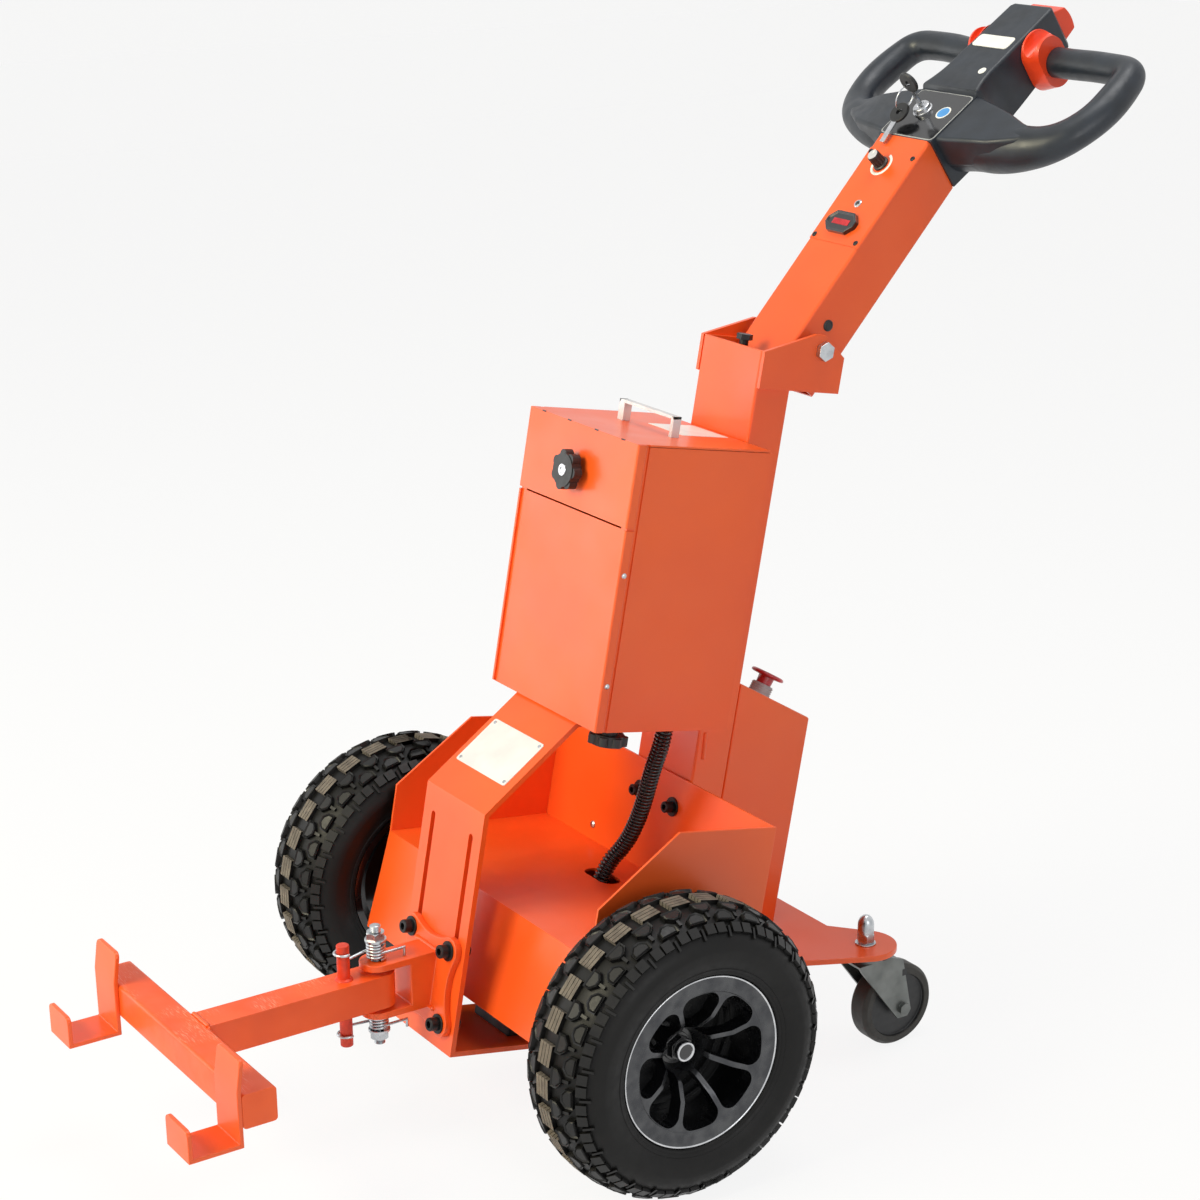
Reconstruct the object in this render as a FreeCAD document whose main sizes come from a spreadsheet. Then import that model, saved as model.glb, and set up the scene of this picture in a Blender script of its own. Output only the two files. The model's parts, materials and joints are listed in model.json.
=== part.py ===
"""Electric tow tug: two driven wheels, two swivel castors, a hinged coupling bar and a tiller.

Millimetres, +Z up, ground at Z = 0, the coupling bar towards -Y and the tiller towards +Y.
The welded chassis is square in itself and leans back by one rake angle about the axle.
"""
import FreeCAD, Part
import math
import os
import re

import Sketcher

Vector = FreeCAD.Vector
Rotation = FreeCAD.Rotation
Placement = FreeCAD.Placement

doc = FreeCAD.newDocument("tow_tug")
sizes = doc.addObject("Spreadsheet::Sheet", "Sizes")
ALIASES = set()
parts = {}


# ---------------------------------------------------------------- helpers

def cells(title, values):
    """Write one titled group of dimensions, each cell with its own alias."""
    row = len(ALIASES) + len(cells.titles) + 1
    sizes.set(f"A{row}", title)
    cells.titles.append(title)
    for alias, value in values.items():
        row += 1
        sizes.set(f"A{row}", alias)
        sizes.set(f"B{row}", str(value))
        sizes.setAlias(f"B{row}", alias)
        ALIASES.add(alias)


cells.titles = []


def bound(text):
    """Turn 'strap_width / 2' into an expression that reads the sheet."""
    return re.sub(r"[a-z_][a-z0-9_]*", lambda word: f"Sizes.{word[0]}" if word[0] in ALIASES else word[0],
                  str(text))


def val(text):
    """The present value of an expression over the sheet."""
    return float(sizes.evalExpression(bound(f"({text}) * 1.0")))


def tie(obj, prop, text):
    obj.setExpression(prop, bound(f"({text}) * 1.0"))


def plane(body, role):
    return next(f for f in body.Origin.OriginFeatures if f.Role == role)


def new_body(label):
    body = doc.addObject("PartDesign::Body", label)
    body.Label = label
    return body


def sketch_on(body, role, name, offset="0"):
    sketch = body.newObject("Sketcher::SketchObject", name)
    sketch.AttachmentSupport = [(plane(body, role), "")]
    sketch.MapMode = "FlatFace"
    tie(sketch, "AttachmentOffset.Base.z", offset)
    return sketch


def pin_point(sketch, edge, end, point):
    """Hold one end of an edge at two bound coordinates."""
    for kind, text in zip(("DistanceX", "DistanceY"), point):
        number = sketch.addConstraint(Sketcher.Constraint(kind, edge, end, val(text)))
        sketch.setExpression(f"Constraints[{number}]", bound(f"({text}) * 1.0"))


def outline(sketch, corners):
    """Close a loop through the corners. A corner is (x, y) or (x, y, radius, side): then the edge
    that leaves it is an arc whose centre lies to its left (side 1) or to its right (side -1).
    A half turn runs between two corners of equal x or equal y."""
    first = sketch.GeometryCount
    spots = [Vector(val(c[0]), val(c[1]), 0) for c in corners]
    ends, half_turns = [], []
    for i, corner in enumerate(corners):
        a, b = spots[i], spots[(i + 1) % len(corners)]
        if len(corner) == 2:
            sketch.addGeometry(Part.LineSegment(a, b))
            ends.append((1, 2))
            continue
        radius, side = val(corner[2]), corner[3]
        chord = b - a
        left = Vector(-chord.y, chord.x, 0).normalize()
        rise = math.sqrt(max(radius ** 2 - chord.Length ** 2 / 4, 0))
        centre = (a + b) * 0.5 + left * (side * rise)
        start, stop = (a, b) if side > 0 else (b, a)
        angles = [math.atan2(p.y - centre.y, p.x - centre.x) for p in (start, stop)]
        circle = Part.Circle(centre, Vector(0, 0, 1), radius)
        sketch.addGeometry(Part.ArcOfCircle(circle, angles[0], angles[1]))
        ends.append((1, 2) if side > 0 else (2, 1))
        if rise < 1e-4:
            half_turns.append((first + i, corner))
            continue
        number = sketch.addConstraint(Sketcher.Constraint("Radius", first + i, radius))
        sketch.setExpression(f"Constraints[{number}]", bound(f"({corner[2]}) * 1.0"))
    for edge, corner in half_turns:
        level = abs(spots[edge - first].y - spots[(edge - first + 1) % len(corners)].y) < 1e-4
        kind, text = ("DistanceY", corner[1]) if level else ("DistanceX", corner[0])
        number = sketch.addConstraint(Sketcher.Constraint(kind, edge, 3, val(text)))
        sketch.setExpression(f"Constraints[{number}]", bound(f"({text}) * 1.0"))
    for i in range(len(corners)):
        j = (i + 1) % len(corners)
        sketch.addConstraint(Sketcher.Constraint("Coincident", first + i, ends[i][1], first + j, ends[j][0]))
    for i, corner in enumerate(corners):
        pin_point(sketch, first + i, ends[i][0], corner[:2])


def rectangle(sketch, x0, y0, x1, y1):
    outline(sketch, [(x0, y0), (x1, y0), (x1, y1), (x0, y1)])


def hole(sketch, x, y, radius):
    """A full circle at a bound place with a bound radius."""
    edge = sketch.addGeometry(Part.Circle(Vector(val(x), val(y), 0), Vector(0, 0, 1), val(radius)))
    pin_point(sketch, edge, 3, (x, y))
    number = sketch.addConstraint(Sketcher.Constraint("Radius", edge, val(radius)))
    sketch.setExpression(f"Constraints[{number}]", bound(f"({radius}) * 1.0"))


def slot(sketch, x, y0, y1, radius):
    """A round-ended slot along the sketch's y."""
    outline(sketch, [(f"{x} + {radius}", y0), (f"{x} + {radius}", y1, radius, 1),
                     (f"{x} - {radius}", y1), (f"{x} - {radius}", y0, radius, 1)])


def extrude(body, kind, name, sketch, length, way="one"):
    """Pad or pocket a sketch: one way, the other way, or evenly both ways."""
    feature = body.newObject(f"PartDesign::{kind}", name)
    feature.Profile = sketch
    tie(feature, "Length", length)
    feature.Midplane = way == "both"
    feature.Reversed = way == "back"
    return feature


def pad(body, name, sketch, length, way="one"):
    return extrude(body, "Pad", name, sketch, length, way)


def pocket(body, name, sketch, length, way="one"):
    """Pocket, and make sure that it took something away."""
    doc.recompute()
    before = body.Shape.Volume
    feature = extrude(body, "Pocket", name, sketch, length, way)
    doc.recompute()
    if body.Shape.Volume > before - 0.01:
        raise RuntimeError(f"{name} cuts nothing")
    return feature


def revolve(body, name, sketch, axis="V_Axis"):
    feature = body.newObject("PartDesign::Revolution", name)
    feature.Profile = sketch
    feature.ReferenceAxis = (sketch, [axis])
    feature.Angle = 360
    return feature


def polar(body, name, feature, sketch, count):
    pattern = body.newObject("PartDesign::PolarPattern", name)
    pattern.Originals = [feature]
    pattern.Axis = (sketch, ["N_Axis"])
    pattern.Angle = 360
    tie(pattern, "Occurrences", count)
    body.Tip = pattern
    return pattern


def fillet(body, name, radius, choose):
    """Round the edges of the body's present shape that the test picks."""
    doc.recompute()
    shape = body.Shape
    names = [f"Edge{i + 1}" for i, edge in enumerate(shape.Edges) if choose(edge)]
    if not names:
        raise RuntimeError(f"{name} finds no edge")
    base = body.Tip
    feature = body.newObject("PartDesign::Fillet", name)
    feature.Base = (base, names)
    tie(feature, "Radius", radius)
    return feature


def along(edge, axis):
    """True for a straight edge along the given axis."""
    if edge.Curve.TypeId != "Part::GeomLine":
        return False
    return abs(abs(edge.tangentAt(edge.FirstParameter).dot(axis)) - 1) < 1e-6


def block(name, x0, x1, y0, y1, z0, z1):
    """A Part box between six bound coordinates."""
    box = doc.addObject("Part::Box", name)
    for prop, low, high in (("Length", x0, x1), ("Width", y0, y1), ("Height", z0, z1)):
        tie(box, prop, f"({high}) - ({low})")
    for prop, low in (("x", x0), ("y", y0), ("z", z0)):
        tie(box, f"Placement.Base.{prop}", low)
    return box


TURNS = {"x": Rotation(Vector(0, 1, 0), 90), "y": Rotation(Vector(1, 0, 0), -90), "z": Rotation()}


def rod(name, axis, radius, start, length, u="0", v="0", sides=0):
    """A Part cylinder, or a prism with that many sides, from start along x, y or z."""
    kind = "Part::Prism" if sides else "Part::Cylinder"
    solid = doc.addObject(kind, name)
    solid.Placement = Placement(Vector(), TURNS[axis])
    if sides:
        solid.Polygon = sides
        tie(solid, "Circumradius", radius)
    else:
        tie(solid, "Radius", radius)
    tie(solid, "Height", length)
    spots = {"x": (start, u, v), "y": (u, start, v), "z": (u, v, start)}[axis]
    for prop, text in zip("xyz", spots):
        tie(solid, f"Placement.Base.{prop}", text)
    return solid


def fuse(label, *pieces):
    joined = doc.addObject("Part::MultiFuse", label)
    joined.Shapes = list(pieces)
    joined.Label = label
    return joined


def group(label, *pieces):
    """Like pieces that don't touch, kept as one compound sub-part."""
    joined = doc.addObject("Part::Compound", label)
    joined.Links = list(pieces)
    joined.Label = label
    return joined


def cut(label, base, *tools):
    tool = tools[0] if len(tools) == 1 else fuse(f"{label}_tools", *tools)
    result = doc.addObject("Part::Cut", label)
    result.Base = base
    result.Tool = tool
    result.Label = label
    return result


def finish(obj, frame):
    """Put a sub-part in its frame and keep it for writing."""
    obj.Placement = frame
    parts[obj.Label] = obj
    return obj


# ---------------------------------------------------------------- driving dimensions

SIZES = {
    "stance": {
        "rake": 10.75,
        "axle_y": -112.4,
        "tyre_radius": 162.5,
        "plate_clearance": 0.3,
    },
    "drive wheels": {
        "wheel_x": 281.5,
        "tyre_half_width": 57.5,
        "rim_lip_radius": 95,
        "rim_half_width": 48.5,
        "bead_radius": 80,
        "rim_wall": 3,
        "disc_face": 2,
        "disc_back": -14,
        "hub_back": -32,
        "hub_radius": 20,
        "spoke_count": 8,
        "spoke_half": 2.8,
        "window_start": 26,
        "window_radius": 76.5,
        "window_round": 12,
        "shaft_radius": 10,
        "shaft_play": 0.05,
        "axle_nut_radius": 14,
    },
    "chassis housing": {
        "side_x": 212,
        "panel_wall": 3,
        "front_y": -70,
        "rear_wall_y": 142,
        "wall_top": 207,
        "floor_front_z": 71.5,
        "floor_rear_z": 84,
        "skirt_foot_y": -84,
        "skirt_foot_z": -45,
        "corner_z": 127,
        "slant_y": 17,
    },
    "strap": {
        "strap_width": 120,
        "strap_wall": 6,
        "strap_front_y": -126,
        "strap_foot_z": -94.5,
        "strap_bend_z": 182,
        "strap_head_y": -25,
        "strap_tail_y": 90,
        "shelf_y": 78,
        "slot_x": 39.5,
        "slot_radius": 4,
        "slot_foot_z": -70,
        "slot_head_z": 150,
    },
    "column": {
        "column_width": 107,
        "column_depth": 47,
        "column_front_y": 146,
        "column_wall": 4,
        "column_top_z": 690,
    },
    "tiller bracket": {
        "ear_wall": 5,
        "ear_drop": 40,
        "pivot_y": 225,
        "pivot_rise": 5.5,
        "ear_round": 17,
        "ear_rear_y": 256,
        "pivot_bolt_radius": 6,
        "rest_wall": 3,
    },
    "rear housing": {
        "housing_rear_y": 300,
        "housing_head_z": 320,
        "housing_tail_z": 278,
    },
    "castor plate": {
        "plate_top_z": 134,
        "plate_wall": 7,
        "plate_rear_y": 349,
        "castor_x": 155,
        "castor_y": 355,
        "ear_radius": 36,
        "castor_radius": 50,
        "castor_width": 30,
        "castor_trail": 40,
        "stem_radius": 6,
    },
    "battery box": {
        "box_width": 204.4,
        "box_depth": 174,
        "box_front_y": -30.5,
        "box_foot_z": 282.5,
        "box_height": 309,
        "box_wall": 2,
        "knob_drop": 49,
        "flap_height": 88,
        "lid_gap": 0.6,
        "curl_radius": 3,
        "hinge_pin_radius": 1.5,
        "knob_radius": 22,
    },
    "coupling": {
        "hitch_y": -194,
        "tongue_mid_z": 169.5,
        "tube_side": 38,
        "hitch_ear_gap": 5,
        "hitch_ear_wall": 8,
        "hitch_ear_radius": 19,
        "hitch_bolt_radius": 6,
        "bracket_wall": 8,
        "lobe_radius": 15,
        "waist_round": 75,
        "bolt_high_z": 21.5,
        "bolt_low_z": -62.5,
        "bolt_radius": 5,
        "bar_half": 172.5,
        "bar_rear_y": -402,
        "hook_width": 51,
        "hook_wall": 5,
        "hook_foot_z": 130.5,
        "hook_top_z": 226,
        "hook_lip_z": 166,
        "hook_reach": 60,
        "anchor_y": -234,
        "anchor_radius": 7,
        "anchor_foot_z": 110,
        "anchor_top_z": 229,
    },
    "tiller": {
        "tiller_lean": 31.65,
        "tiller_swing": 14,
        "tiller_width": 84,
        "tiller_front": 28,
        "tiller_back": 37,
        "tiller_wall": 3,
        "tiller_foot": -40,
        "tiller_head": 257,
        "head_tilt": 13,
    },
    "tiller head": {
        "head_length": 223,
        "head_depth": 63,
        "panel_length": 76,
        "head_rise": 6,
        "head_half_foot": 45,
        "head_half_waist": 37,
        "head_half_tip": 34,
        "waist_along": 125,
        "grip_radius": 16.5,
        "grip_along": 180,
        "grip_below": 34,
        "arm_radius": 18,
        "arm_x": 188,
        "wing_along": 43,
        "wing_half": 39,
        "wing_thick": 32,
        "throttle_half": 24,
        "throttle_reach": 12,
        "throttle_round": 6,
        "throttle_gap": 0.3,
        "throttle_thick": 22,
        "button_depth": 22,
    },
    "hose": {
        "hose_radius": 10,
    },
    "transaxle": {
        "axle_tube_radius": 24,
        "case_radius": 70,
        "case_half": 42,
        "motor_radius": 52,
        "motor_y": 80,
        "motor_length": 140,
    },
    "hose port": {
        "hose_port_x": 0,
        "hose_port_y": 84,
        "hose_port_half": 13,
    },
}
for title, values in SIZES.items():
    cells(title, values)
cells("bracket levels", {"pivot_z": "=column_top_z + pivot_rise", "ear_foot_z": "=column_top_z - ear_drop"})
doc.recompute()


# ---------------------------------------------------------------- frames

def turned(frame, text):
    """A frame leaned back about its own x by the given angle."""
    return frame.multiply(Placement(Vector(), Rotation(Vector(-1, 0, 0), val(text))))


ground = Placement(Vector(0, val("axle_y"), 0), Rotation())
chassis = turned(Placement(Vector(0, val("axle_y"), val("tyre_radius")), Rotation()), "rake")
tiller = turned(chassis.multiply(Placement(Vector(0, val("pivot_y"), val("pivot_z")), Rotation())),
                "tiller_lean")
head = turned(tiller.multiply(Placement(Vector(0, -val("tiller_front"), val("tiller_head")), Rotation())),
              "head_tilt")
sides = {"left": -1, "right": 1}


def wheel_frame(side):
    """Axis of revolution outwards, centred on the tyre."""
    spot = Vector(side * val("wheel_x"), val("axle_y"), val("tyre_radius"))
    return Placement(spot, Rotation(Vector(0, 1, 0), 90 * side))


# ---------------------------------------------------------------- drive wheels

# how far along the spoke a window's outer corner arc starts
cells("rim windows", {
    "window_run": "=sqrt((window_radius - window_round) ^ 2 - (spoke_half + window_round) ^ 2)",
})
doc.recompute()


def tyre(name, side):
    body = new_body(name)
    section = sketch_on(body, "XZ_Plane", f"{name}_section")
    w, r, b = "tyre_half_width", "tyre_radius", "bead_radius"
    lip, half = "rim_lip_radius", "rim_half_width"
    outline(section, [(f"{b} + 0.3", f"-{half} + 15"), (f"{b} + 1.3", f"-{half} + 8.4"),
                      (f"{lip} + 0.3", f"-{half} + 4.4"), (f"{lip} + 0.3", f"-{half} + 1"),
                      (f"{lip} + 4", f"-{half} - 2"), (f"{r} - 45", f"-{w}", 60, 1),
                      (f"{r} - 20", f"-{w} + 6"), (f"{r} - 8", f"-{w} + 20"), (f"{r} - 2", f"-{w} + 34"),
                      (r, f"-{w} + 45"), (r, f"{w} - 45"), (f"{r} - 2", f"{w} - 34"),
                      (f"{r} - 8", f"{w} - 20"), (f"{r} - 20", f"{w} - 6", 60, 1),
                      (f"{r} - 45", w), (f"{lip} + 4", f"{half} + 2"), (f"{lip} + 0.3", f"{half} - 1"),
                      (f"{lip} + 0.3", f"{half} - 4.4"), (f"{b} + 1.3", f"{half} - 8.4"),
                      (f"{b} + 0.3", f"{half} - 15")])
    revolve(body, f"{name}_turn", section)
    return finish(body, wheel_frame(side))


def rim(name, side):
    """Cast rim: stepped barrel with a closed back, and a dished front with windows between thin spokes."""
    body = new_body(name)
    section = sketch_on(body, "XZ_Plane", f"{name}_section")
    lip, bead, half = "rim_lip_radius", "bead_radius", "rim_half_width"
    inner, bore = "(bead_radius - rim_wall)", "shaft_radius + 0.02"
    outline(section, [(bore, "disc_face"), ("hub_radius", "disc_face"), ("hub_radius + 10", f"{half} - 22.5"),
                      (f"{inner} * 0.62", f"{half} - 7.5"), (f"{inner} * 0.83", f"{half} - 2.5"),
                      (inner, f"{half} - 1"), (f"{inner} + 1", half), (lip, half), (lip, f"{half} - 4"),
                      (f"{bead} + 1", f"{half} - 8"), (bead, f"{half} - 14"), (bead, f"-{half} + 14"),
                      (f"{bead} + 1", f"-{half} + 8"), (lip, f"-{half} + 4"), (lip, f"-{half}"),
                      (f"{lip} - 8", f"-{half}"), (inner, f"-{half} + 9"), (inner, "hub_back"),
                      (bore, "hub_back")])
    outline(section, [(inner, f"{half} - 17"), (f"{inner} * 0.62", f"{half} - 25"),
                      ("hub_radius + 14", "disc_face + 10"), ("hub_radius + 4", "disc_back"),
                      ("hub_radius + 4", "hub_back + 5"), (f"{inner} - 9", "hub_back + 5"),
                      (f"{inner} - 9", "hub_back + 14"), (f"{inner} - 4.5", "hub_back + 14"),
                      (f"{inner} - 4.5", "hub_back + 24"), (inner, "hub_back + 24")])
    revolve(body, f"{name}_casting", section)
    face = sketch_on(body, "XY_Plane", f"{name}_window_sketch", "rim_half_width + 2")
    outline(face, window_corners())
    window = pocket(body, f"{name}_window", face, "rim_half_width + 2 - disc_back")
    doc.recompute()
    polar(body, f"{name}_windows", window, face, "spoke_count")
    return finish(body, wheel_frame(side))


def window_corners():
    """One window of the rim, clockwise from its inner end: straight along a spoke, round at the barrel."""
    corner, edge = "window_round", "window_radius"

    def beside(run, sign):
        """A point beside a spoke, at its distance along the spoke's middle."""
        half = f"spoke_half + {corner}" if run == "window_run" else "spoke_half"
        return (f"{run} * cos(180 / spoke_count) + ({half}) * sin(180 / spoke_count)",
                f"{sign} * ({run} * sin(180 / spoke_count) - ({half}) * cos(180 / spoke_count))")

    def on_side(sign):
        return (f"window_run * cos(180 / spoke_count) + spoke_half * sin(180 / spoke_count)",
                f"{sign} * (window_run * sin(180 / spoke_count) - spoke_half * cos(180 / spoke_count))")

    def on_edge(sign):
        x, y = beside("window_run", sign)
        grow = f"{edge} / ({edge} - {corner})"
        return f"({x}) * {grow}", f"({y}) * {grow}"

    return [beside("window_start", 1), (*on_side(1), corner, -1), (*on_edge(1), edge, -1),
            (*on_edge(-1), corner, -1), on_side(-1), beside("window_start", -1)]


def half_shaft(name, side):
    """Driven shaft with its shoulder inside the hub and the nut outside."""
    shaft = rod(f"{name}_bar", "z", "shaft_radius", "-wheel_x + 20", "wheel_x - 20 + disc_face + 18")
    shoulder = rod(f"{name}_shoulder", "z", "hub_radius - 2", "hub_back - 8", "8")
    washer = rod(f"{name}_washer", "z", "axle_nut_radius + 2", "disc_face", "2")
    nut = rod(f"{name}_nut", "z", "axle_nut_radius", "disc_face + 2", "9", sides=6)
    return finish(fuse(name, shaft, shoulder, washer, nut), wheel_frame(side))


for word, sign in sides.items():
    tyre(f"tyre_{word}", sign)
    rim(f"rim_{word}", sign)
    half_shaft(f"half_shaft_{word}", sign)


# ---------------------------------------------------------------- chassis housing

def side_panel(name, side):
    """One flat side: upright front edge, slanted shoulder, level top, hole for the axle tube."""
    body = new_body(name)
    face = sketch_on(body, "YZ_Plane", f"{name}_outline",
                     "side_x - panel_wall" if side > 0 else "-side_x")
    outline(face, [("skirt_foot_y", "skirt_foot_z"), ("rear_wall_y + panel_wall", "skirt_foot_z"),
                   ("rear_wall_y + panel_wall", "wall_top"), ("slant_y", "wall_top"),
                   ("front_y - 2", "corner_z"), ("front_y - 2", "floor_front_z")])
    hole(face, "0", "0", "axle_tube_radius + plate_clearance")
    pad(body, f"{name}_sheet", face, "panel_wall")
    return finish(body, chassis)


for word, sign in sides.items():
    side_panel(f"side_panel_{word}", sign)


def deck():
    """Deck and front skirt in one folded sheet between the side panels."""
    body = new_body("deck")
    edge = sketch_on(body, "YZ_Plane", "deck_section")
    outline(edge, [("skirt_foot_y", "skirt_foot_z"), ("front_y", "floor_front_z - panel_wall"),
                   ("rear_wall_y", "floor_rear_z - panel_wall"), ("rear_wall_y", "floor_rear_z"),
                   ("front_y - panel_wall", "floor_front_z"), ("skirt_foot_y - panel_wall", "skirt_foot_z")])
    pad(body, "deck_sheet", edge, "(side_x - panel_wall) * 2", "both")
    port = sketch_on(body, "XY_Plane", "deck_hose_port", "floor_rear_z + 20")
    high, low = "hose_port_y + hose_radius + 3", "hose_port_y - hose_radius - 3"
    x0, x1, r = "hose_port_x - hose_port_half", "hose_port_x + hose_port_half", "hose_radius + 3"
    outline(port, [(x0, low), (x1, low, r, 1), (x1, high), (x0, high, r, 1)])
    pocket(body, "deck_port", port, "60")
    return finish(body, chassis)


deck()


def rear_wall():
    body = new_body("rear_wall")
    face = sketch_on(body, "XZ_Plane", "rear_wall_outline", "-rear_wall_y")
    rectangle(face, "-side_x + panel_wall", "skirt_foot_z", "side_x - panel_wall", "wall_top")
    pad(body, "rear_wall_sheet", face, "panel_wall", "back")
    return finish(body, chassis)


rear_wall()
rods = []
for word, sign in sides.items():
    rods.append(rod(f"wall_bolt_washer_{word}", "y", 11, "rear_wall_y - 2", "2", f"{sign} * 32", "171"))
    rods.append(rod(f"wall_bolt_head_{word}", "y", 6, "rear_wall_y - 13", "11", f"{sign} * 32", "171"))
bolts = [fuse(f"wall_bolt_{i}", *rods[2 * i:2 * i + 2]) for i in range(2)]
finish(group("wall_bolts", *bolts), chassis)


def transaxle():
    """Gear case with its axle tubes and the foot that stands on the strap."""
    case = rod("case_drum", "x", "case_radius", "-case_half", "case_half * 2")
    lobe = rod("case_lobe", "x", "motor_radius - 4", "-case_half", "case_half * 2", "motor_y", "0")
    bridge = block("case_bridge", "-case_half", "case_half", "0", "motor_y", "-motor_radius + 8",
                   "motor_radius - 8")
    foot = block("case_foot", "-case_half + 6", "case_half - 6", "-38", "38", "strap_foot_z + strap_wall",
                 "-40")
    tube = rod("axle_tube", "x", "axle_tube_radius", "-side_x - 4", "(side_x + 4) * 2")
    bore = rod("axle_bore", "x", "shaft_radius + shaft_play", "-side_x - 5", "(side_x + 5) * 2")
    body = fuse("transaxle_body", case, lobe, bridge, foot, tube)
    return finish(cut("transaxle", body, bore), chassis)


transaxle()
finish(fuse("drive_motor",
            rod("motor_drum", "x", "motor_radius", "-case_half - motor_length", "motor_length", "motor_y"),
            rod("motor_cap", "x", "motor_radius * 0.6", "-case_half - motor_length - 8", "9", "motor_y")),
       chassis)


# ---------------------------------------------------------------- strap

def strap():
    """One strip folded three times: foot, slotted front, slope and the shelf under the box."""
    body = new_body("strap")
    edge = sketch_on(body, "YZ_Plane", "strap_section")
    wall = "strap_wall"
    outline(edge, [("strap_tail_y", "strap_foot_z"), ("strap_tail_y", f"strap_foot_z + {wall}"),
                   (f"strap_front_y + {wall}", f"strap_foot_z + {wall}"),
                   (f"strap_front_y + {wall}", f"strap_bend_z - {wall} * 0.4"),
                   (f"strap_head_y + {wall} * 0.4", f"box_foot_z - {wall}"),
                   ("shelf_y", f"box_foot_z - {wall}"), ("shelf_y", "box_foot_z"),
                   ("strap_head_y", "box_foot_z"), ("strap_front_y", "strap_bend_z"),
                   ("strap_front_y", "strap_foot_z")])
    pad(body, "strap_sheet", edge, "strap_width", "both")
    slots = sketch_on(body, "XZ_Plane", "strap_slots", "-strap_front_y + 5")
    for x in ("-slot_x", "slot_x"):
        slot(slots, x, "slot_foot_z", "slot_head_z", "slot_radius")
    pocket(body, "strap_slots_cut", slots, "20")
    return finish(body, chassis)


strap()


# ---------------------------------------------------------------- column, bracket and rear housing

def column():
    """Hollow rectangular post, its foot cut level on the castor plate."""
    body = new_body("column")
    ring = sketch_on(body, "XY_Plane", "column_section", "-30")
    rectangle(ring, "-column_width / 2", "column_front_y", "column_width / 2",
              "column_front_y + column_depth")
    rectangle(ring, "-column_width / 2 + column_wall", "column_front_y + column_wall",
              "column_width / 2 - column_wall", "column_front_y + column_depth - column_wall")
    pad(body, "column_tube", ring, "column_top_z + 30")
    foot = sketch_on(body, "YZ_Plane", "column_foot")
    outline(foot, [("column_front_y - 20", "-60"), ("column_front_y + column_depth + 20", "-60"),
                   ("column_front_y + column_depth + 20",
                    "plate_level + (column_front_y + column_depth + 20) * tan(rake)"),
                   ("column_front_y - 20", "plate_level + (column_front_y - 20) * tan(rake)")])
    pocket(body, "column_foot_cut", foot, "column_width * 2", "both")
    back = sketch_on(body, "XZ_Plane", "column_back_window", "-column_front_y - column_depth - 5")
    rectangle(back, "-column_width / 2 + column_wall", "ear_foot_z", "column_width / 2 - column_wall",
              "column_top_z + 5")
    pocket(body, "column_back_cut", back, "column_wall + 8", "back")
    return finish(body, chassis)


# height of the castor plate's top in the chassis frame, where the frame's own y is zero
cells("plate level", {"plate_level": "=(plate_top_z - tyre_radius) / cos(rake)"})
doc.recompute()
column()


def bracket():
    """Two ears welded to the column's sides, joined at the back by the plate that stops the tiller."""
    body = new_body("tiller_bracket")
    ear = sketch_on(body, "YZ_Plane", "bracket_ear")
    front = "column_front_y"
    outline(ear, [(front, "ear_foot_z"), ("ear_rear_y", "ear_foot_z"), ("ear_rear_y", "pivot_z - 6"),
                  ("pivot_y", "pivot_z + ear_round"), ("pivot_y - 12", "pivot_z + ear_round"),
                  (front, "column_top_z")])
    pad(body, "bracket_block", ear, "column_width + ear_wall * 2", "both")
    room = sketch_on(body, "YZ_Plane", "bracket_room")
    rectangle(room, f"{front} - 10", "ear_foot_z - 10", "ear_rear_y - rest_wall", "pivot_z + ear_round + 5")
    pocket(body, "bracket_room_cut", room, "column_width", "both")
    top = sketch_on(body, "YZ_Plane", "bracket_back_top")
    rectangle(top, "ear_rear_y - rest_wall - 2", "rest_top_z", "ear_rear_y + 10", "pivot_z + ear_round + 5")
    pocket(body, "bracket_back_cut", top, "column_width", "both")
    pin = sketch_on(body, "YZ_Plane", "bracket_pin_hole")
    hole(pin, "pivot_y", "pivot_z", "pivot_bolt_radius + 0.05")
    pocket(body, "bracket_pin_cut", pin, "column_width + ear_wall * 3", "both")
    return finish(body, chassis)


# the tube's back meets the rear plate when the tiller is pushed upright,
# and its front foot rests on the stop bar when it leans back
cells("tiller stops", {
    "rest_top_z": "=pivot_z + ((ear_rear_y - rest_wall - pivot_y) * cos(tiller_lean - tiller_swing)"
                  " - tiller_back) / sin(tiller_lean - tiller_swing) - plate_clearance",
    "stop_face_y": "=pivot_y - tiller_front * cos(tiller_lean) + tiller_foot * sin(tiller_lean)"
                   " - plate_clearance",
    "stop_foot_z": "=pivot_z + tiller_front * sin(tiller_lean) + tiller_foot * cos(tiller_lean) - 5",
})
doc.recompute()
bracket()

half = "column_width / 2 + ear_wall"
finish(fuse("tiller_bolt",
            rod("tiller_bolt_bar", "x", "pivot_bolt_radius", f"-({half}) - 2", f"({half}) * 2 + 4"),
            rod("tiller_bolt_head", "x", "pivot_bolt_radius * 1.8", half, "7", sides=6),
            rod("tiller_bolt_nut", "x", "pivot_bolt_radius * 1.8", f"-({half}) - 9", "9", sides=6)),
       chassis.multiply(Placement(Vector(0, val("pivot_y"), val("pivot_z")), Rotation())))


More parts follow.
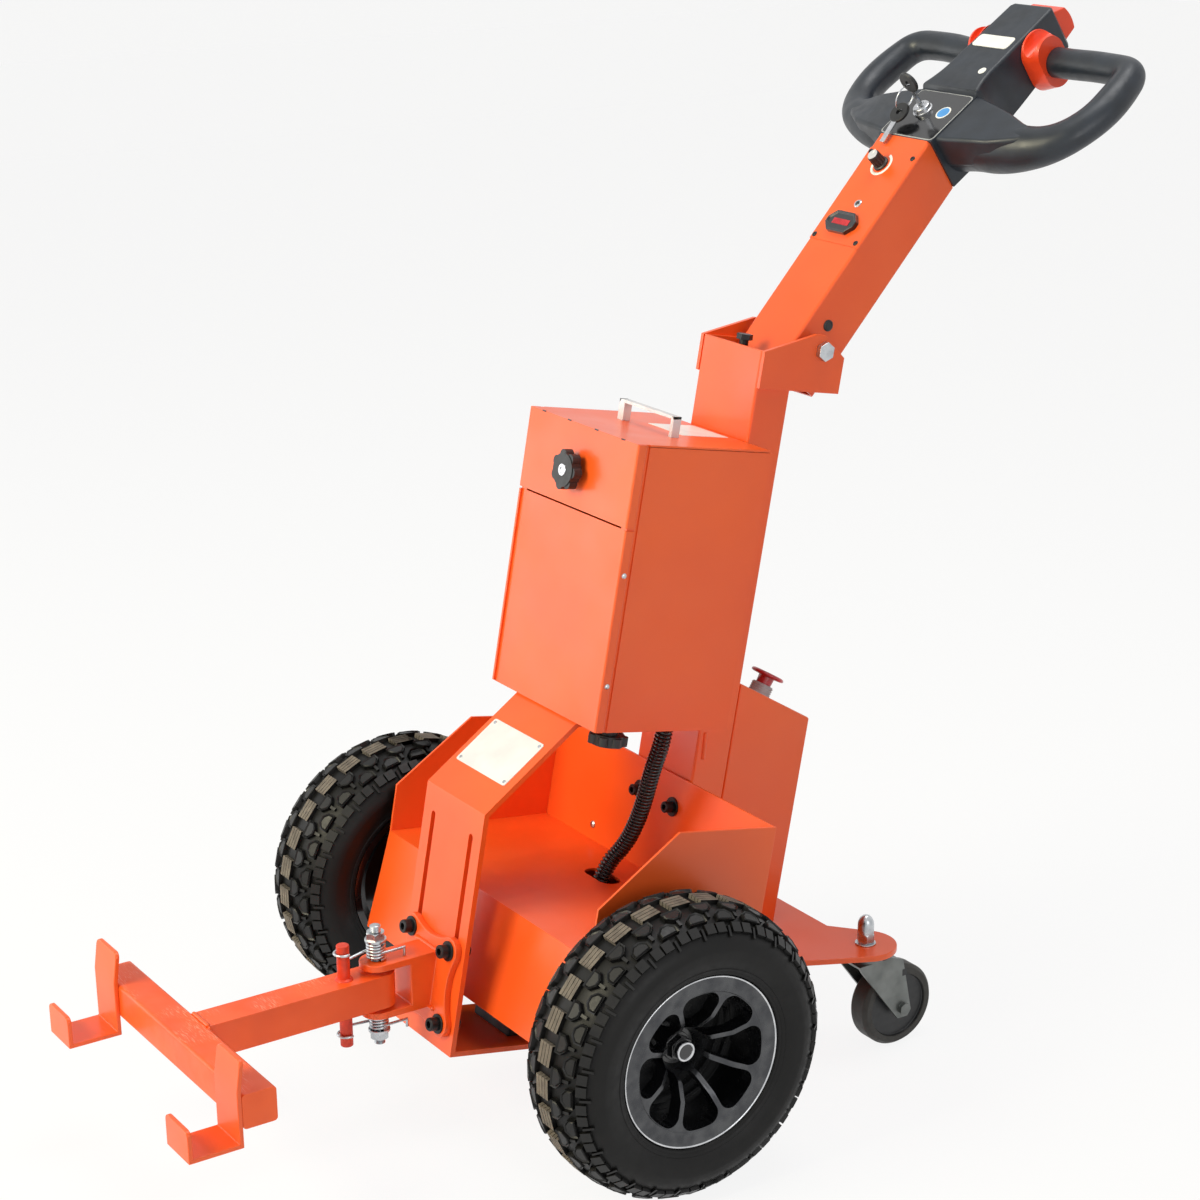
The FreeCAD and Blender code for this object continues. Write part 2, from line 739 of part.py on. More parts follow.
def stop_bolt():
    """Adjustable stop on a cross bar between the ears, in front of the tiller tube."""
    front, y = "column_front_y + column_wall", "column_front_y + column_wall + 11"
    bar = block("stop_bar", "-column_width / 2 + column_wall", "column_width / 2 - column_wall", front,
                "stop_face_y", "stop_foot_z", "stop_foot_z + 8")
    bolt = rod("stop_screw", "z", 5, "stop_foot_z - 8", "column_top_z + 4 - stop_foot_z + 9", "0", y)
    nut = rod("stop_nut", "z", 9, "stop_foot_z + 8", "7", "0", y, sides=6)
    tip = rod("stop_head", "z", 9, "column_top_z + 4", "6", "0", y, sides=6)
    return finish(fuse("stop_bolt", bar, bolt, nut, tip), chassis)


stop_bolt()


def rear_housing():
    """Sheet housing for the drive electronics behind the column, its lid sloping to the rear."""
    body = new_body("rear_housing")
    face = sketch_on(body, "YZ_Plane", "rear_housing_outline")
    front = "column_front_y + column_depth"
    outline(face, [(front, f"plate_level + ({front}) * tan(rake)"),
                   ("housing_rear_y", "plate_level + housing_rear_y * tan(rake)"),
                   ("housing_rear_y", "housing_tail_z"), (front, "housing_head_z")])
    pad(body, "rear_housing_block", face, "column_width", "both")
    return finish(body, chassis)


rear_housing()

# frame that stands square on the housing's sloping lid
lid_slope = math.degrees(math.atan2(val("housing_head_z - housing_tail_z"),
                                    val("housing_rear_y - column_front_y - column_depth")))
lid_mid = Vector(0, val("(housing_rear_y + column_front_y + column_depth) / 2"),
                 val("(housing_head_z + housing_tail_z) / 2"))
lid_frame = chassis.multiply(Placement(lid_mid, Rotation(Vector(-1, 0, 0), lid_slope)))
finish(fuse("emergency_stop",
            rod("stop_collar", "z", 13, "0", "12"), rod("stop_neck", "z", 9, "12", "10"),
            rod("stop_cap", "z", 20, "21", "5")),
       lid_frame.multiply(Placement(Vector(12, 8, 0), Rotation())))
finish(group("charge_socket", rod("socket_drum", "z", 12, "0", "16")),
       lid_frame.multiply(Placement(Vector(-24, -20, 0), Rotation())))


# ---------------------------------------------------------------- castors

def castor_plate():
    """Level plate with one ear to each rear corner, the ear's end round about the castor."""
    body = new_body("castor_plate")
    face = sketch_on(body, "XY_Plane", "castor_plate_outline", "plate_top_z - plate_wall")
    cx, cy, er = "castor_x", "castor_y", "ear_radius"
    slant = "30"
    right = [("0", "plate_rear_y"), (f"{cx} - {er} * 1.75", "plate_rear_y"),
             (f"{cx} - {er} * sin(50)", f"{cy} + {er} * cos(50)", er, -1),
             (f"{cx} + {er} * cos({slant})", f"{cy} - {er} * sin({slant})"),
             ("castor_x - 10", "plate_rear_y - 95"), ("column_width / 2 + 20", "rear_level_y")]
    left = [(f"-({c[0]})", c[1]) for c in reversed(right[1:])]
    left[2] = (left[2][0], left[2][1], er, -1)
    outline(face, right + left)
    pad(body, "castor_plate_sheet", face, "plate_wall")
    for word, sign in sides.items():
        bore = sketch_on(body, "XY_Plane", f"castor_bore_{word}", "plate_top_z + 5")
        hole(bore, f"{sign} * castor_x", "castor_y", "stem_radius + 0.02")
        pocket(body, f"castor_bore_cut_{word}", bore, "plate_wall + 10")
    return finish(body, ground)


# where the rear wall's back meets the plate, in the ground frame
cells("rear level", {"rear_level_y": "=(rear_wall_y + panel_wall) * cos(rake) + ((plate_top_z - tyre_radius)"
      " / cos(rake) + (rear_wall_y + panel_wall) * tan(rake)) * sin(rake)"})
doc.recompute()
castor_plate()


def castor_stem(name, side):
    """Stem with its domed nut and washer above the plate and the fixed race below it."""
    x, y = f"{side} * castor_x", "castor_y"
    race = rod(f"{name}_race", "z", 26, "plate_top_z - plate_wall - 3", "3", x, y)
    bar = rod(f"{name}_bar", "z", "stem_radius", "plate_top_z - plate_wall - 14", "plate_wall + 26", x, y)
    washer = rod(f"{name}_washer", "z", 12, "plate_top_z", "2", x, y)
    nut = rod(f"{name}_nut", "z", 10.5, "plate_top_z + 2", "12", x, y, sides=6)
    dome = doc.addObject("Part::Sphere", f"{name}_dome")
    dome.Radius = 9
    for prop, text in zip("xyz", (x, y, "plate_top_z + 16")):
        tie(dome, f"Placement.Base.{prop}", text)
    return fuse(name, race, bar, washer, nut, dome)


finish(group("castor_stems", *[castor_stem(f"stem_{word}", sign) for word, sign in sides.items()]), ground)


def castor_fork(name, side):
    """Swivel head with two legs that trail to the wheel's axle, and the axle bolt."""
    body = new_body(f"{name}_frame")
    legs = sketch_on(body, "YZ_Plane", f"{name}_leg_outline")
    top, mid = "castor_head_z", "castor_radius"
    outline(legs, [("-26", top), ("-22", f"{top} - 8"), ("castor_trail - 12", f"{mid} - 6"),
                   ("castor_trail - 7", f"{mid} - 12"), ("castor_trail + 7", f"{mid} - 12"),
                   ("castor_trail + 12", f"{mid} - 5"), ("castor_trail - 2", f"{top} - 6"), ("22", top)])
    pad(body, f"{name}_legs", legs, "castor_width + 16", "both")
    room = sketch_on(body, "YZ_Plane", f"{name}_room")
    rectangle(room, "-60", "-10", "castor_trail + 40", f"{top} - 4")
    pocket(body, f"{name}_room_cut", room, "castor_width + 8", "both")
    bore = sketch_on(body, "XY_Plane", f"{name}_bore", f"{top} + 5")
    hole(bore, "0", "0", "stem_radius + 1")
    pocket(body, f"{name}_bore_cut", bore, "30")
    pin = rod(f"{name}_pin", "x", 4, "-castor_width / 2 - 12", "castor_width + 24", "castor_trail",
              "castor_radius")
    ends = [rod(f"{name}_nut_{i}", "x", 7.5, start, "5", "castor_trail", "castor_radius", sides=6)
            for i, start in enumerate(("castor_width / 2 + 8", "-castor_width / 2 - 13"))]
    race = cut(f"{name}_race", rod(f"{name}_race_disc", "z", 24, top, "5"),
               rod(f"{name}_race_bore", "z", "stem_radius + 1", f"{top} - 1", "7"))
    frame = ground.multiply(Placement(Vector(side * val("castor_x"), val("castor_y"), 0), Rotation()))
    return finish(fuse(name, body, pin, *ends, race), frame)


def castor_wheel(name, side):
    body = new_body(name)
    section = sketch_on(body, "XZ_Plane", f"{name}_section")
    r, w = "castor_radius", "castor_width / 2"
    outline(section, [("4.05", f"-{w} - 2"), ("11", f"-{w} - 2"), ("11", f"-{w} + 4"), (f"{r} - 12", f"-{w} + 4"),
                      (f"{r} - 11", f"-{w}"), (f"{r} - 4", f"-{w}"), (r, f"-{w} + 5"), (r, f"{w} - 5"),
                      (f"{r} - 4", w), (f"{r} - 11", w), (f"{r} - 12", f"{w} - 4"), ("11", f"{w} - 4"),
                      ("11", f"{w} + 2"), ("4.05", f"{w} + 2")])
    revolve(body, f"{name}_turn", section)
    spot = Vector(side * val("castor_x"), val("castor_y + castor_trail"), val("castor_radius"))
    return finish(body, ground.multiply(Placement(spot, Rotation(Vector(0, 1, 0), 90))))


# the fork's head hangs a little under the fixed race
cells("castor head", {"castor_head_z": "=plate_top_z - plate_wall - 3 - 5 - 0.6"})
doc.recompute()
for word, sign in sides.items():
    castor_fork(f"castor_fork_{word}", sign)
    castor_wheel(f"castor_wheel_{word}", sign)


# ---------------------------------------------------------------- battery box

def battery_box():
    """Open sheet box: floor, back, two sides and the lower front, with the corner flanges."""
    body = new_body("battery_box")
    y0, y1 = "box_front_y", "box_front_y + box_depth"
    z0, z1 = "box_foot_z", "box_foot_z + box_height - box_wall - lid_gap"
    shell = sketch_on(body, "YZ_Plane", "battery_box_outline")
    rectangle(shell, y0, z0, y1, z1)
    pad(body, "battery_box_block", shell, "box_width", "both")
    room = sketch_on(body, "YZ_Plane", "battery_box_room")
    rectangle(room, f"{y0} + box_wall", f"{z0} + box_wall", f"{y1} - box_wall", f"{z1} + 5")
    pocket(body, "battery_box_room_cut", room, "box_width - box_wall * 2", "both")
    mouth = sketch_on(body, "XZ_Plane", "battery_box_mouth", f"-({y0}) + 5")
    rectangle(mouth, "-box_width / 2 + 10", f"{z1} - flap_height", "box_width / 2 - 10", f"{z1} + 5")
    pocket(body, "battery_box_mouth_cut", mouth, "5 + box_wall + 1")
    back = sketch_on(body, "XZ_Plane", "battery_box_back_edge", f"-({y1}) + box_wall + 1")
    rectangle(back, "-box_width / 2 + box_wall", f"{z0} + box_height - curl_radius * 2 - 1",
              "box_width / 2 - box_wall", f"{z1} + 5")
    pocket(body, "battery_box_back_cut", back, "box_wall + 3")
    notch = sketch_on(body, "YZ_Plane", "battery_box_pin_notch")
    hole(notch, f"{y1} - curl_radius", f"{z0} + box_height - curl_radius", "hinge_pin_radius")
    pocket(body, "battery_box_notch_cut", notch, "box_width * 2", "both")
    return finish(body, chassis)


battery_box()
finish(group("battery", block("battery_block", "-box_width / 2 + 12", "box_width / 2 - 12",
                              "box_front_y + 8", "box_front_y + box_depth - 8", "box_foot_z + box_wall",
                              "box_foot_z + box_wall + 170")), chassis)


def box_lid():
    """Top and front flap in one folded sheet."""
    body = new_body("box_lid")
    edge = sketch_on(body, "YZ_Plane", "box_lid_section")
    y0, y1 = "box_front_y", "box_front_y + box_depth"
    top = "box_foot_z + box_height"
    outline(edge, [(f"{y0} - lid_gap - box_wall", f"{top} - flap_height"),
                   (f"{y0} - lid_gap", f"{top} - flap_height"), (f"{y0} - lid_gap", f"{top} - box_wall"),
                   (f"{y1} - curl_radius", f"{top} - box_wall"), (f"{y1} - curl_radius", top),
                   (f"{y0} - lid_gap - box_wall", top)])
    pad(body, "box_lid_sheet", edge, "box_width", "both")
    curl = sketch_on(body, "YZ_Plane", "box_lid_curl")
    hole(curl, f"{y1} - curl_radius", f"{top} - curl_radius", "curl_radius")
    pad(body, "box_lid_curl_pad", curl, "box_width - box_wall * 2 - lid_gap * 2", "both")
    bore = sketch_on(body, "YZ_Plane", "box_lid_bore")
    hole(bore, f"{y1} - curl_radius", f"{top} - curl_radius", "hinge_pin_radius + 0.05")
    pocket(body, "box_lid_bore_cut", bore, "box_width * 2", "both")
    return finish(body, chassis)


box_lid()
finish(group("lid_hinge_pin", rod("hinge_rod", "x", "hinge_pin_radius", "-box_width / 2", "box_width",
                                  "box_front_y + box_depth - curl_radius",
                                  "box_foot_z + box_height - curl_radius")), chassis)


def star_knob(name, axis_frame):
    """Lobed clamping knob on a round boss."""
    body = new_body(name)
    disc = sketch_on(body, "XY_Plane", f"{name}_disc", "6")
    hole(disc, "0", "0", "knob_radius - 4")
    pad(body, f"{name}_disc_pad", disc, "12")
    lobe = sketch_on(body, "XY_Plane", f"{name}_lobe", "7")
    hole(lobe, "knob_radius - 6", "0", "6")
    first = pad(body, f"{name}_lobe_pad", lobe, "10")
    doc.recompute()
    polar(body, f"{name}_lobes", first, lobe, "7")
    boss = sketch_on(body, "XY_Plane", f"{name}_boss")
    hole(boss, "0", "0", "knob_radius * 0.45")
    pad(body, f"{name}_boss_pad", boss, "8")
    return finish(body, axis_frame)


flap_spot = Vector(0, val("box_front_y - lid_gap - box_wall"),
                   val("box_foot_z + box_height - knob_drop"))
star_knob("lid_knob", chassis.multiply(Placement(flap_spot, Rotation(Vector(1, 0, 0), 90))))
under_spot = Vector(12, val("box_front_y + 75"), val("box_foot_z - strap_wall"))
star_knob("clamp_knob", chassis.multiply(Placement(under_spot, Rotation(Vector(1, 0, 0), 180))))


def lid_handle():
    """Bow handle with two feet."""
    top = "box_foot_z + box_height"
    mid = "box_front_y + box_depth * 0.46"
    bow = block("handle_bow", "-54", "54", f"{mid} - 5", f"{mid} + 5", f"{top} + 18", f"{top} + 24")
    feet = [block(f"handle_foot_{word}", f"{sign} * 50 - 4", f"{sign} * 50 + 4", f"{mid} - 5", f"{mid} + 5",
                  top, f"{top} + 24") for word, sign in sides.items()]
    return finish(fuse("lid_handle", bow, *feet), chassis)


lid_handle()


# ---------------------------------------------------------------- hitch bracket and coupling bar

def lobed_corners():
    """Corners of the plate, anticlockwise: a round lobe about each bolt and a hollow arc between lobes."""
    share = "lobe_radius / lobe_reach"
    x = f"slot_x + waist_side * {share}"
    low, high = f"bolt_low_z + lobe_half * {share}", f"bolt_high_z - lobe_half * {share}"
    end_x = f"slot_x - slot_x * {share}"
    top, foot = f"bolt_high_z + waist_top * {share}", f"bolt_low_z - waist_top * {share}"
    lobe, waist = ("lobe_radius", 1), ("waist_round", -1)
    return [(x, low, *waist), (x, high, *lobe), (end_x, top, *waist), (f"-({end_x})", top, *lobe),
            (f"-({x})", high, *waist), (f"-({x})", low, *lobe), (f"-({end_x})", foot, *waist),
            (end_x, foot, *lobe)]


def hitch_bracket():
    """Four-lobed plate on the slotted strap with two level ears that hold the coupling's pivot."""
    y0 = "strap_front_y - bracket_wall"
    plate = new_body("hitch_plate")
    face = sketch_on(plate, "XZ_Plane", "hitch_plate_outline", "-strap_front_y")
    outline(face, lobed_corners())
    for x in ("-slot_x", "slot_x"):
        for z in ("bolt_high_z", "bolt_low_z"):
            hole(face, x, z, "bolt_radius + 0.5")
    pad(plate, "hitch_plate_sheet", face, "bracket_wall")
    ears = new_body("hitch_ears")
    ear = sketch_on(ears, "XY_Plane", "hitch_ear_outline")
    r = "hitch_ear_radius"
    outline(ear, [(f"-{r}", "hitch_y", r, 1), (r, "hitch_y"), (r, "hitch_back_y"), (f"-{r}", "hitch_back_y")])
    hole(ear, "0", "hitch_y", "hitch_bolt_radius + 0.05")
    pad(ears, "hitch_ear_block", ear, "tube_side + hitch_ear_gap * 2 + hitch_ear_wall * 2", "both")
    gap = sketch_on(ears, "XY_Plane", "hitch_ear_gap_outline")
    rectangle(gap, "-60", "hitch_y - 60", "60", "hitch_y + hitch_ear_radius + 12")
    pocket(ears, "hitch_ear_gap_cut", gap, "tube_side + hitch_ear_gap * 2", "both")
    trim = sketch_on(ears, "YZ_Plane", "hitch_ear_trim")
    outline(trim, [("hitch_face_y - 80 * tan(rake)", "-80"), ("hitch_face_y + 80 * tan(rake)", "80"),
                   ("hitch_face_y + 160", "80"), ("hitch_face_y + 160", "-80")])
    pocket(ears, "hitch_ear_trim_cut", trim, "100", "both")
    ears.Placement = Placement(Vector(0, 0, val("tongue_mid_z")), Rotation())
    plate.Placement = Placement(Vector(0, 0, val("tyre_radius")), Rotation(Vector(-1, 0, 0), val("rake")))
    return finish(fuse("hitch_bracket", plate, ears), ground)


# the plate's front face at the height of the ears' middle, in the ground frame,
# and the middles of the hollow arcs between the plate's lobes
cells("hitch face", {
    "hitch_face_y": "=(strap_front_y - bracket_wall) / cos(rake) + (tongue_mid_z - tyre_radius) * tan(rake)",
    "hitch_back_y": "=hitch_face_y + 20",
    "lobe_reach": "=waist_round + lobe_radius",
    "lobe_half": "=(bolt_high_z - bolt_low_z) / 2",
    "waist_side": "=sqrt(lobe_reach ^ 2 - lobe_half ^ 2)",
    "waist_top": "=sqrt(lobe_reach ^ 2 - slot_x ^ 2)",
})
doc.recompute()
hitch_bracket()


def bracket_bolt(name, x, z):
    front = "strap_front_y - bracket_wall"
    back = "strap_front_y + strap_wall"
    head = rod(f"{name}_head", "y", 7.5, f"{front} - 12", "10", x, z)
    washer = rod(f"{name}_washer", "y", 11, f"{front} - 2", "2", x, z)
    bar = rod(f"{name}_bar", "y", "bolt_radius - 1.2", f"{front} - 2", "bracket_wall + strap_wall + 14", x, z)
    back_washer = rod(f"{name}_back_washer", "y", 11, back, "2", x, z)
    nut = rod(f"{name}_nut", "y", 9, f"{back} + 2", "8", x, z, sides=6)
    return fuse(name, head, washer, bar, back_washer, nut)


spots = [(f"{sign} * slot_x", z) for sign in sides.values() for z in ("bolt_high_z", "bolt_low_z")]
finish(group("bracket_bolts", *[bracket_bolt(f"bracket_bolt_{i}", *s) for i, s in enumerate(spots)]), chassis)

reach = "tube_side / 2 + hitch_ear_gap + hitch_ear_wall"
finish(fuse("pivot_bolt",
            rod("pivot_bolt_bar", "z", "hitch_bolt_radius", f"-({reach}) - 30", f"({reach}) * 2 + 64"),
            rod("pivot_bolt_washer_top", "z", 12, f"{reach} + 22", "3"),
            rod("pivot_bolt_head", "z", 11, f"{reach} + 25", "8", sides=6),
            rod("pivot_bolt_washer_foot", "z", 12, f"-({reach}) - 21", "3"),
            rod("pivot_bolt_nut", "z", 11, f"-({reach}) - 29", "8", sides=6)),
       ground.multiply(Placement(Vector(0, val("hitch_y"), val("tongue_mid_z")), Rotation())))
coils = [cut(f"coil_{i}", rod(f"coil_drum_{i}", "z", 11, start, "17"),
             rod(f"coil_bore_{i}", "z", "hitch_bolt_radius + 1.5", f"{start} - 1", "19"))
         for i, start in enumerate((f"{reach} + 0.3", f"-({reach}) - 17.3"))]
finish(group("centring_springs", *coils),
       ground.multiply(Placement(Vector(0, val("hitch_y"), val("tongue_mid_z")), Rotation())))


def coupling_bar():
    """Square tongue with a round rear end, welded to the capped cross bar."""
    half = "tube_side / 2"
    tongue = block("tongue", f"-{half}", half, "bar_rear_y", "hitch_y", f"tongue_mid_z - {half}",
                   f"tongue_mid_z + {half}")
    nose = rod("tongue_end", "z", half, f"tongue_mid_z - {half}", "tube_side", "0", "hitch_y")
    bore = rod("tongue_bore", "z", "hitch_bolt_radius + 0.05", f"tongue_mid_z - {half} - 1", "tube_side + 2",
               "0", "hitch_y")
    pin_bore = rod("tongue_pin_bore", "z", "anchor_radius", f"tongue_mid_z - {half} - 1", "tube_side + 2",
                   "0", "anchor_y")
    finish(cut("tongue_tube", fuse("tongue_body", tongue, nose), bore, pin_bore), ground)
    finish(group("cross_bar", block("cross_bar_solid", "-bar_half", "bar_half", "bar_rear_y - tube_side",
                                    "bar_rear_y", f"tongue_mid_z - {half}", f"tongue_mid_z + {half}")), ground)
    finish(group("anchor_pin", rod("anchor_rod", "z", "anchor_radius", "anchor_foot_z",
                                   "anchor_top_z - anchor_foot_z", "0", "anchor_y")), ground)


coupling_bar()


def hook(name, side):
    """J-shaped plate on the cross bar's front: upright, shelf and raised lip."""
    body = new_body(name)
    edge = sketch_on(body, "YZ_Plane", f"{name}_section")
    back = "bar_rear_y - tube_side"
    wall, reach_y = "hook_wall", f"({back}) - hook_reach"
    outline(edge, [(back, "hook_foot_z"), (back, "tongue_mid_z + tube_side / 2 + 4"),
                   (f"{back} + 5", "hook_top_z"), (f"{back} + 5 - {wall}", "hook_top_z"),
                   (f"{back} - {wall}", "tongue_mid_z + tube_side / 2 + 4"),
                   (f"{back} - {wall}", f"hook_foot_z + {wall}"),
                   (f"{reach_y} + {wall}", f"hook_foot_z + {wall}"), (f"{reach_y} + {wall}", "hook_lip_z"),
                   (reach_y, "hook_lip_z"), (reach_y, "hook_foot_z")])
    pad(body, f"{name}_plate", edge, "hook_width", "both")
    spot = Vector(side * val("bar_half - hook_width / 2"), 0, 0)
    return finish(body, ground.multiply(Placement(spot, Rotation())))


for word, sign in sides.items():
    hook(f"hook_{word}", sign)


# ---------------------------------------------------------------- tiller

def tiller_tube():
    body = new_body("tiller_tube")
    ring = sketch_on(body, "XY_Plane", "tiller_section", "tiller_foot")
    rectangle(ring, "-tiller_width / 2", "-tiller_front", "tiller_width / 2", "tiller_back")
    rectangle(ring, "-tiller_width / 2 + tiller_wall", "-tiller_front + tiller_wall",
              "tiller_width / 2 - tiller_wall", "tiller_back - tiller_wall")
    pad(body, "tiller_wall_pad", ring, "tiller_head - tiller_foot")
    end = sketch_on(body, "YZ_Plane", "tiller_end")
    outline(end, [("-tiller_front - 20", "tiller_head + 20 * tan(head_tilt)"),
                  ("tiller_back + 20", "tiller_head - (tiller_front + tiller_back + 20) * tan(head_tilt)"),
                  ("tiller_back + 20", "tiller_head + 20"), ("-tiller_front - 20", "tiller_head + 20")])
    pocket(body, "tiller_end_cut", end, "tiller_width * 2", "both")
    pin = sketch_on(body, "YZ_Plane", "tiller_pin_hole")
    hole(pin, "0", "0", "pivot_bolt_radius + 0.05")
    pocket(body, "tiller_pin_cut", pin, "tiller_width * 2", "both")
    return finish(body, tiller)


tiller_tube()
gap = "column_width / 2 - tiller_width / 2 - 0.6"
finish(group("pivot_spacers",
             *[cut(f"spacer_{word}",
                   rod(f"spacer_disc_{word}", "x", 14, "tiller_width / 2" if sign > 0
                       else f"-tiller_width / 2 - ({gap})", gap),
                   rod(f"spacer_bore_{word}", "x", "pivot_bolt_radius + 0.05", "-200", "400"))
               for word, sign in sides.items()]), tiller)


def head_core():
    """Moulded centre: sloped foot under the key panel, raised spine that narrows to the tip."""
    body = new_body("head_core")
    plan = sketch_on(body, "XZ_Plane", "head_plan", "head_rise")
    foot, waist, tip = "head_half_foot", "head_half_waist", "head_half_tip"
    outline(plan, [(f"-{foot}", "0"), (foot, "0"), (foot, "panel_length + 6", 90, -1),
                   (waist, "waist_along"), (tip, "head_length - 5"), (f"{tip} - 5", "head_length"),
                   (f"-{tip} + 5", "head_length"), (f"-{tip}", "head_length - 5"),
                   (f"-{waist}", "waist_along", 90, -1), (f"-{foot}", "panel_length + 6")])
    pad(body, "head_block", plan, "head_depth + head_rise", "back")
    side = sketch_on(body, "YZ_Plane", "head_panel_side")
    outline(side, [("-head_rise - 5", "-5"), ("0", "-5"), ("0", "panel_length"),
                   ("-head_rise - 5", "panel_length + 6")])
    pocket(body, "head_panel_cut", side, "300", "both")
    belly = sketch_on(body, "YZ_Plane", "head_belly_side")
    outline(belly, [("head_depth + 5", "-5"), ("head_depth + 5", "head_length + 5"),
                    ("head_depth - 18", "head_length + 5"), ("head_depth - 12", "head_length - 60"),
                    ("head_depth", "60"), ("head_depth - foot_lean", "0"), ("head_depth - foot_lean", "-5")])
    pocket(body, "head_belly_cut", belly, "300", "both")
    doc.recompute()
    fillet(body, "head_round", "4", lambda e: e.CenterOfMass.y < -5.9 and e.CenterOfMass.z > 80)
    return body


# the underside starts flush with the tube's back
# and the throttles start just clear of the spine's side where their hub is widest
cells("head foot", {
    "foot_lean": "=head_depth - (tiller_front + tiller_back) / cos(head_tilt)",
    "throttle_start": "=head_half_waist - (head_half_waist - head_half_tip)"
                      " * (grip_along - 24 - waist_along) / (head_length - 5 - waist_along) + throttle_gap",
})
doc.recompute()


def section(name, spot, heading, wide, thick):
    """One ellipse of a grip loop: its middle (x, along), the way the loop runs there and its half sizes."""
    ring = doc.addObject("Part::Ellipse", name)
    tie(ring, "MajorRadius", wide)
    tie(ring, "MinorRadius", thick)
    run = Vector(math.cos(math.radians(heading)), 0, math.sin(math.radians(heading)))
    across = Vector(run.z, 0, -run.x)
    down = Vector(0, 1, 0)
    turn = Rotation(across, down, across.cross(down), "XYZ")
    ring.Placement = Placement(Vector(val(spot[0]), val("grip_below") + (0 if heading else 2), val(spot[1])), turn)
    return ring


def head_loop(word, side):
    """Closed grip loop: a deep wing at the foot that thins into the side arm and the round grip."""
    arm, grip = "arm_radius", "grip_radius"
    steps = [((f"{side} * (head_half_foot - 12)", "wing_along"), 0, "wing_half", "wing_thick"),
             ((f"{side} * (head_half_foot + 32)", "wing_along - 1"), 2, "wing_half - 9", "wing_thick - 3"),
             ((f"{side} * (arm_x - 52)", "wing_along + 4"), 20, "wing_half - 15", f"{arm} + 6"),
             ((f"{side} * (arm_x - 17)", "wing_along + 24"), 55, f"{arm} + 2", f"{arm} + 1"),
             ((f"{side} * arm_x", "wing_along + 62"), 88, f"{arm} + 0.3", arm),
             ((f"{side} * (arm_x - 1)", "grip_along - 38"), 94, f"{arm} + 0.3", arm),
             ((f"{side} * (arm_x - 9)", "grip_along - 10"), 135, f"{grip} + 1", f"{grip} + 0.7"),
             ((f"{side} * (arm_x - 40)", "grip_along"), 178, f"{grip} + 0.3", grip),
             ((f"{side} * (arm_x - 90)", "grip_along"), 180, f"{grip} + 0.3", grip),
             ((f"{side} * (head_half_tip - 8)", "grip_along"), 180, f"{grip} + 0.3", grip)]
    rings = [section(f"loop_{word}_{i}", spot, heading if side > 0 else 180 - heading, wide, thick)
             for i, (spot, heading, wide, thick) in enumerate(steps)]
    loft = doc.addObject("Part::Loft", f"loop_{word}")
    loft.Sections = rings
    loft.Solid = True
    loft.Ruled = False
    loft.MaxDegree = 2
    return loft


finish(fuse("tiller_head", head_core(), *[head_loop(word, sign) for word, sign in sides.items()]), head)


def throttle(word, side):
    """Thumb lever around the grip: a long rounded disc with a soft outer edge."""
    body = new_body(f"throttle_{word}")
    start = "throttle_start"
    face = sketch_on(body, "YZ_Plane", f"throttle_{word}_outline",
                     start if side > 0 else f"-({start}) - throttle_thick")
    y, z, half = "grip_below", "grip_along", "throttle_half"
    outline(face, [(f"{y} - throttle_reach", f"{z} + {half}", half, 1), (f"{y} - throttle_reach", f"{z} - {half}"),
                   (f"{y} + throttle_reach", f"{z} - {half}", half, 1), (f"{y} + throttle_reach", f"{z} + {half}")])
    hole(face, y, z, "grip_radius + 4")
    pad(body, f"throttle_{word}_pad", face, "throttle_thick")
    outer = side * val(f"{start} + throttle_thick")
    fillet(body, f"throttle_{word}_round", "throttle_round",
           lambda e: abs(e.CenterOfMass.x - outer) < 0.01 and e.Length < 140 and abs(e.BoundBox.ZLength) > 1
           and abs(math.hypot(e.Vertexes[0].Point.y - val(y), e.Vertexes[0].Point.z - val(z))
                   - val("grip_radius + 4")) > 1)
    return body


finish(group("throttles", *[throttle(word, sign) for word, sign in sides.items()]), head)


def safety_button():
    """Push button that caps the head's tip, rounded towards the operator."""
    body = new_body("safety_button")
    side = sketch_on(body, "YZ_Plane", "button_side")
    outline(side, [("4", "head_length + 0.3"), ("head_depth - 20", "head_length + 0.3"),
                   ("head_depth - 24", "head_length + button_depth - 3", 40, 1), ("10", "head_length + button_depth - 4")])
    pad(body, "button_pad", side, "(head_half_tip - 8) * 2", "both")
    return finish(body, head)


safety_button()
finish(group("speed_knob", rod("speed_knob_cap", "y", 9, "-tiller_front - 18", "18", "-14", "tiller_head - 36")),
       tiller)
finish(group("charge_gauge", block("gauge_bezel", "-27", "21", "-tiller_front - 6", "-tiller_front", "125", "151")),
       tiller)
finish(group("key_switch", rod("lock_barrel", "y", 10, "-7", "7", "-8", "38")), head)


# ---------------------------------------------------------------- hose

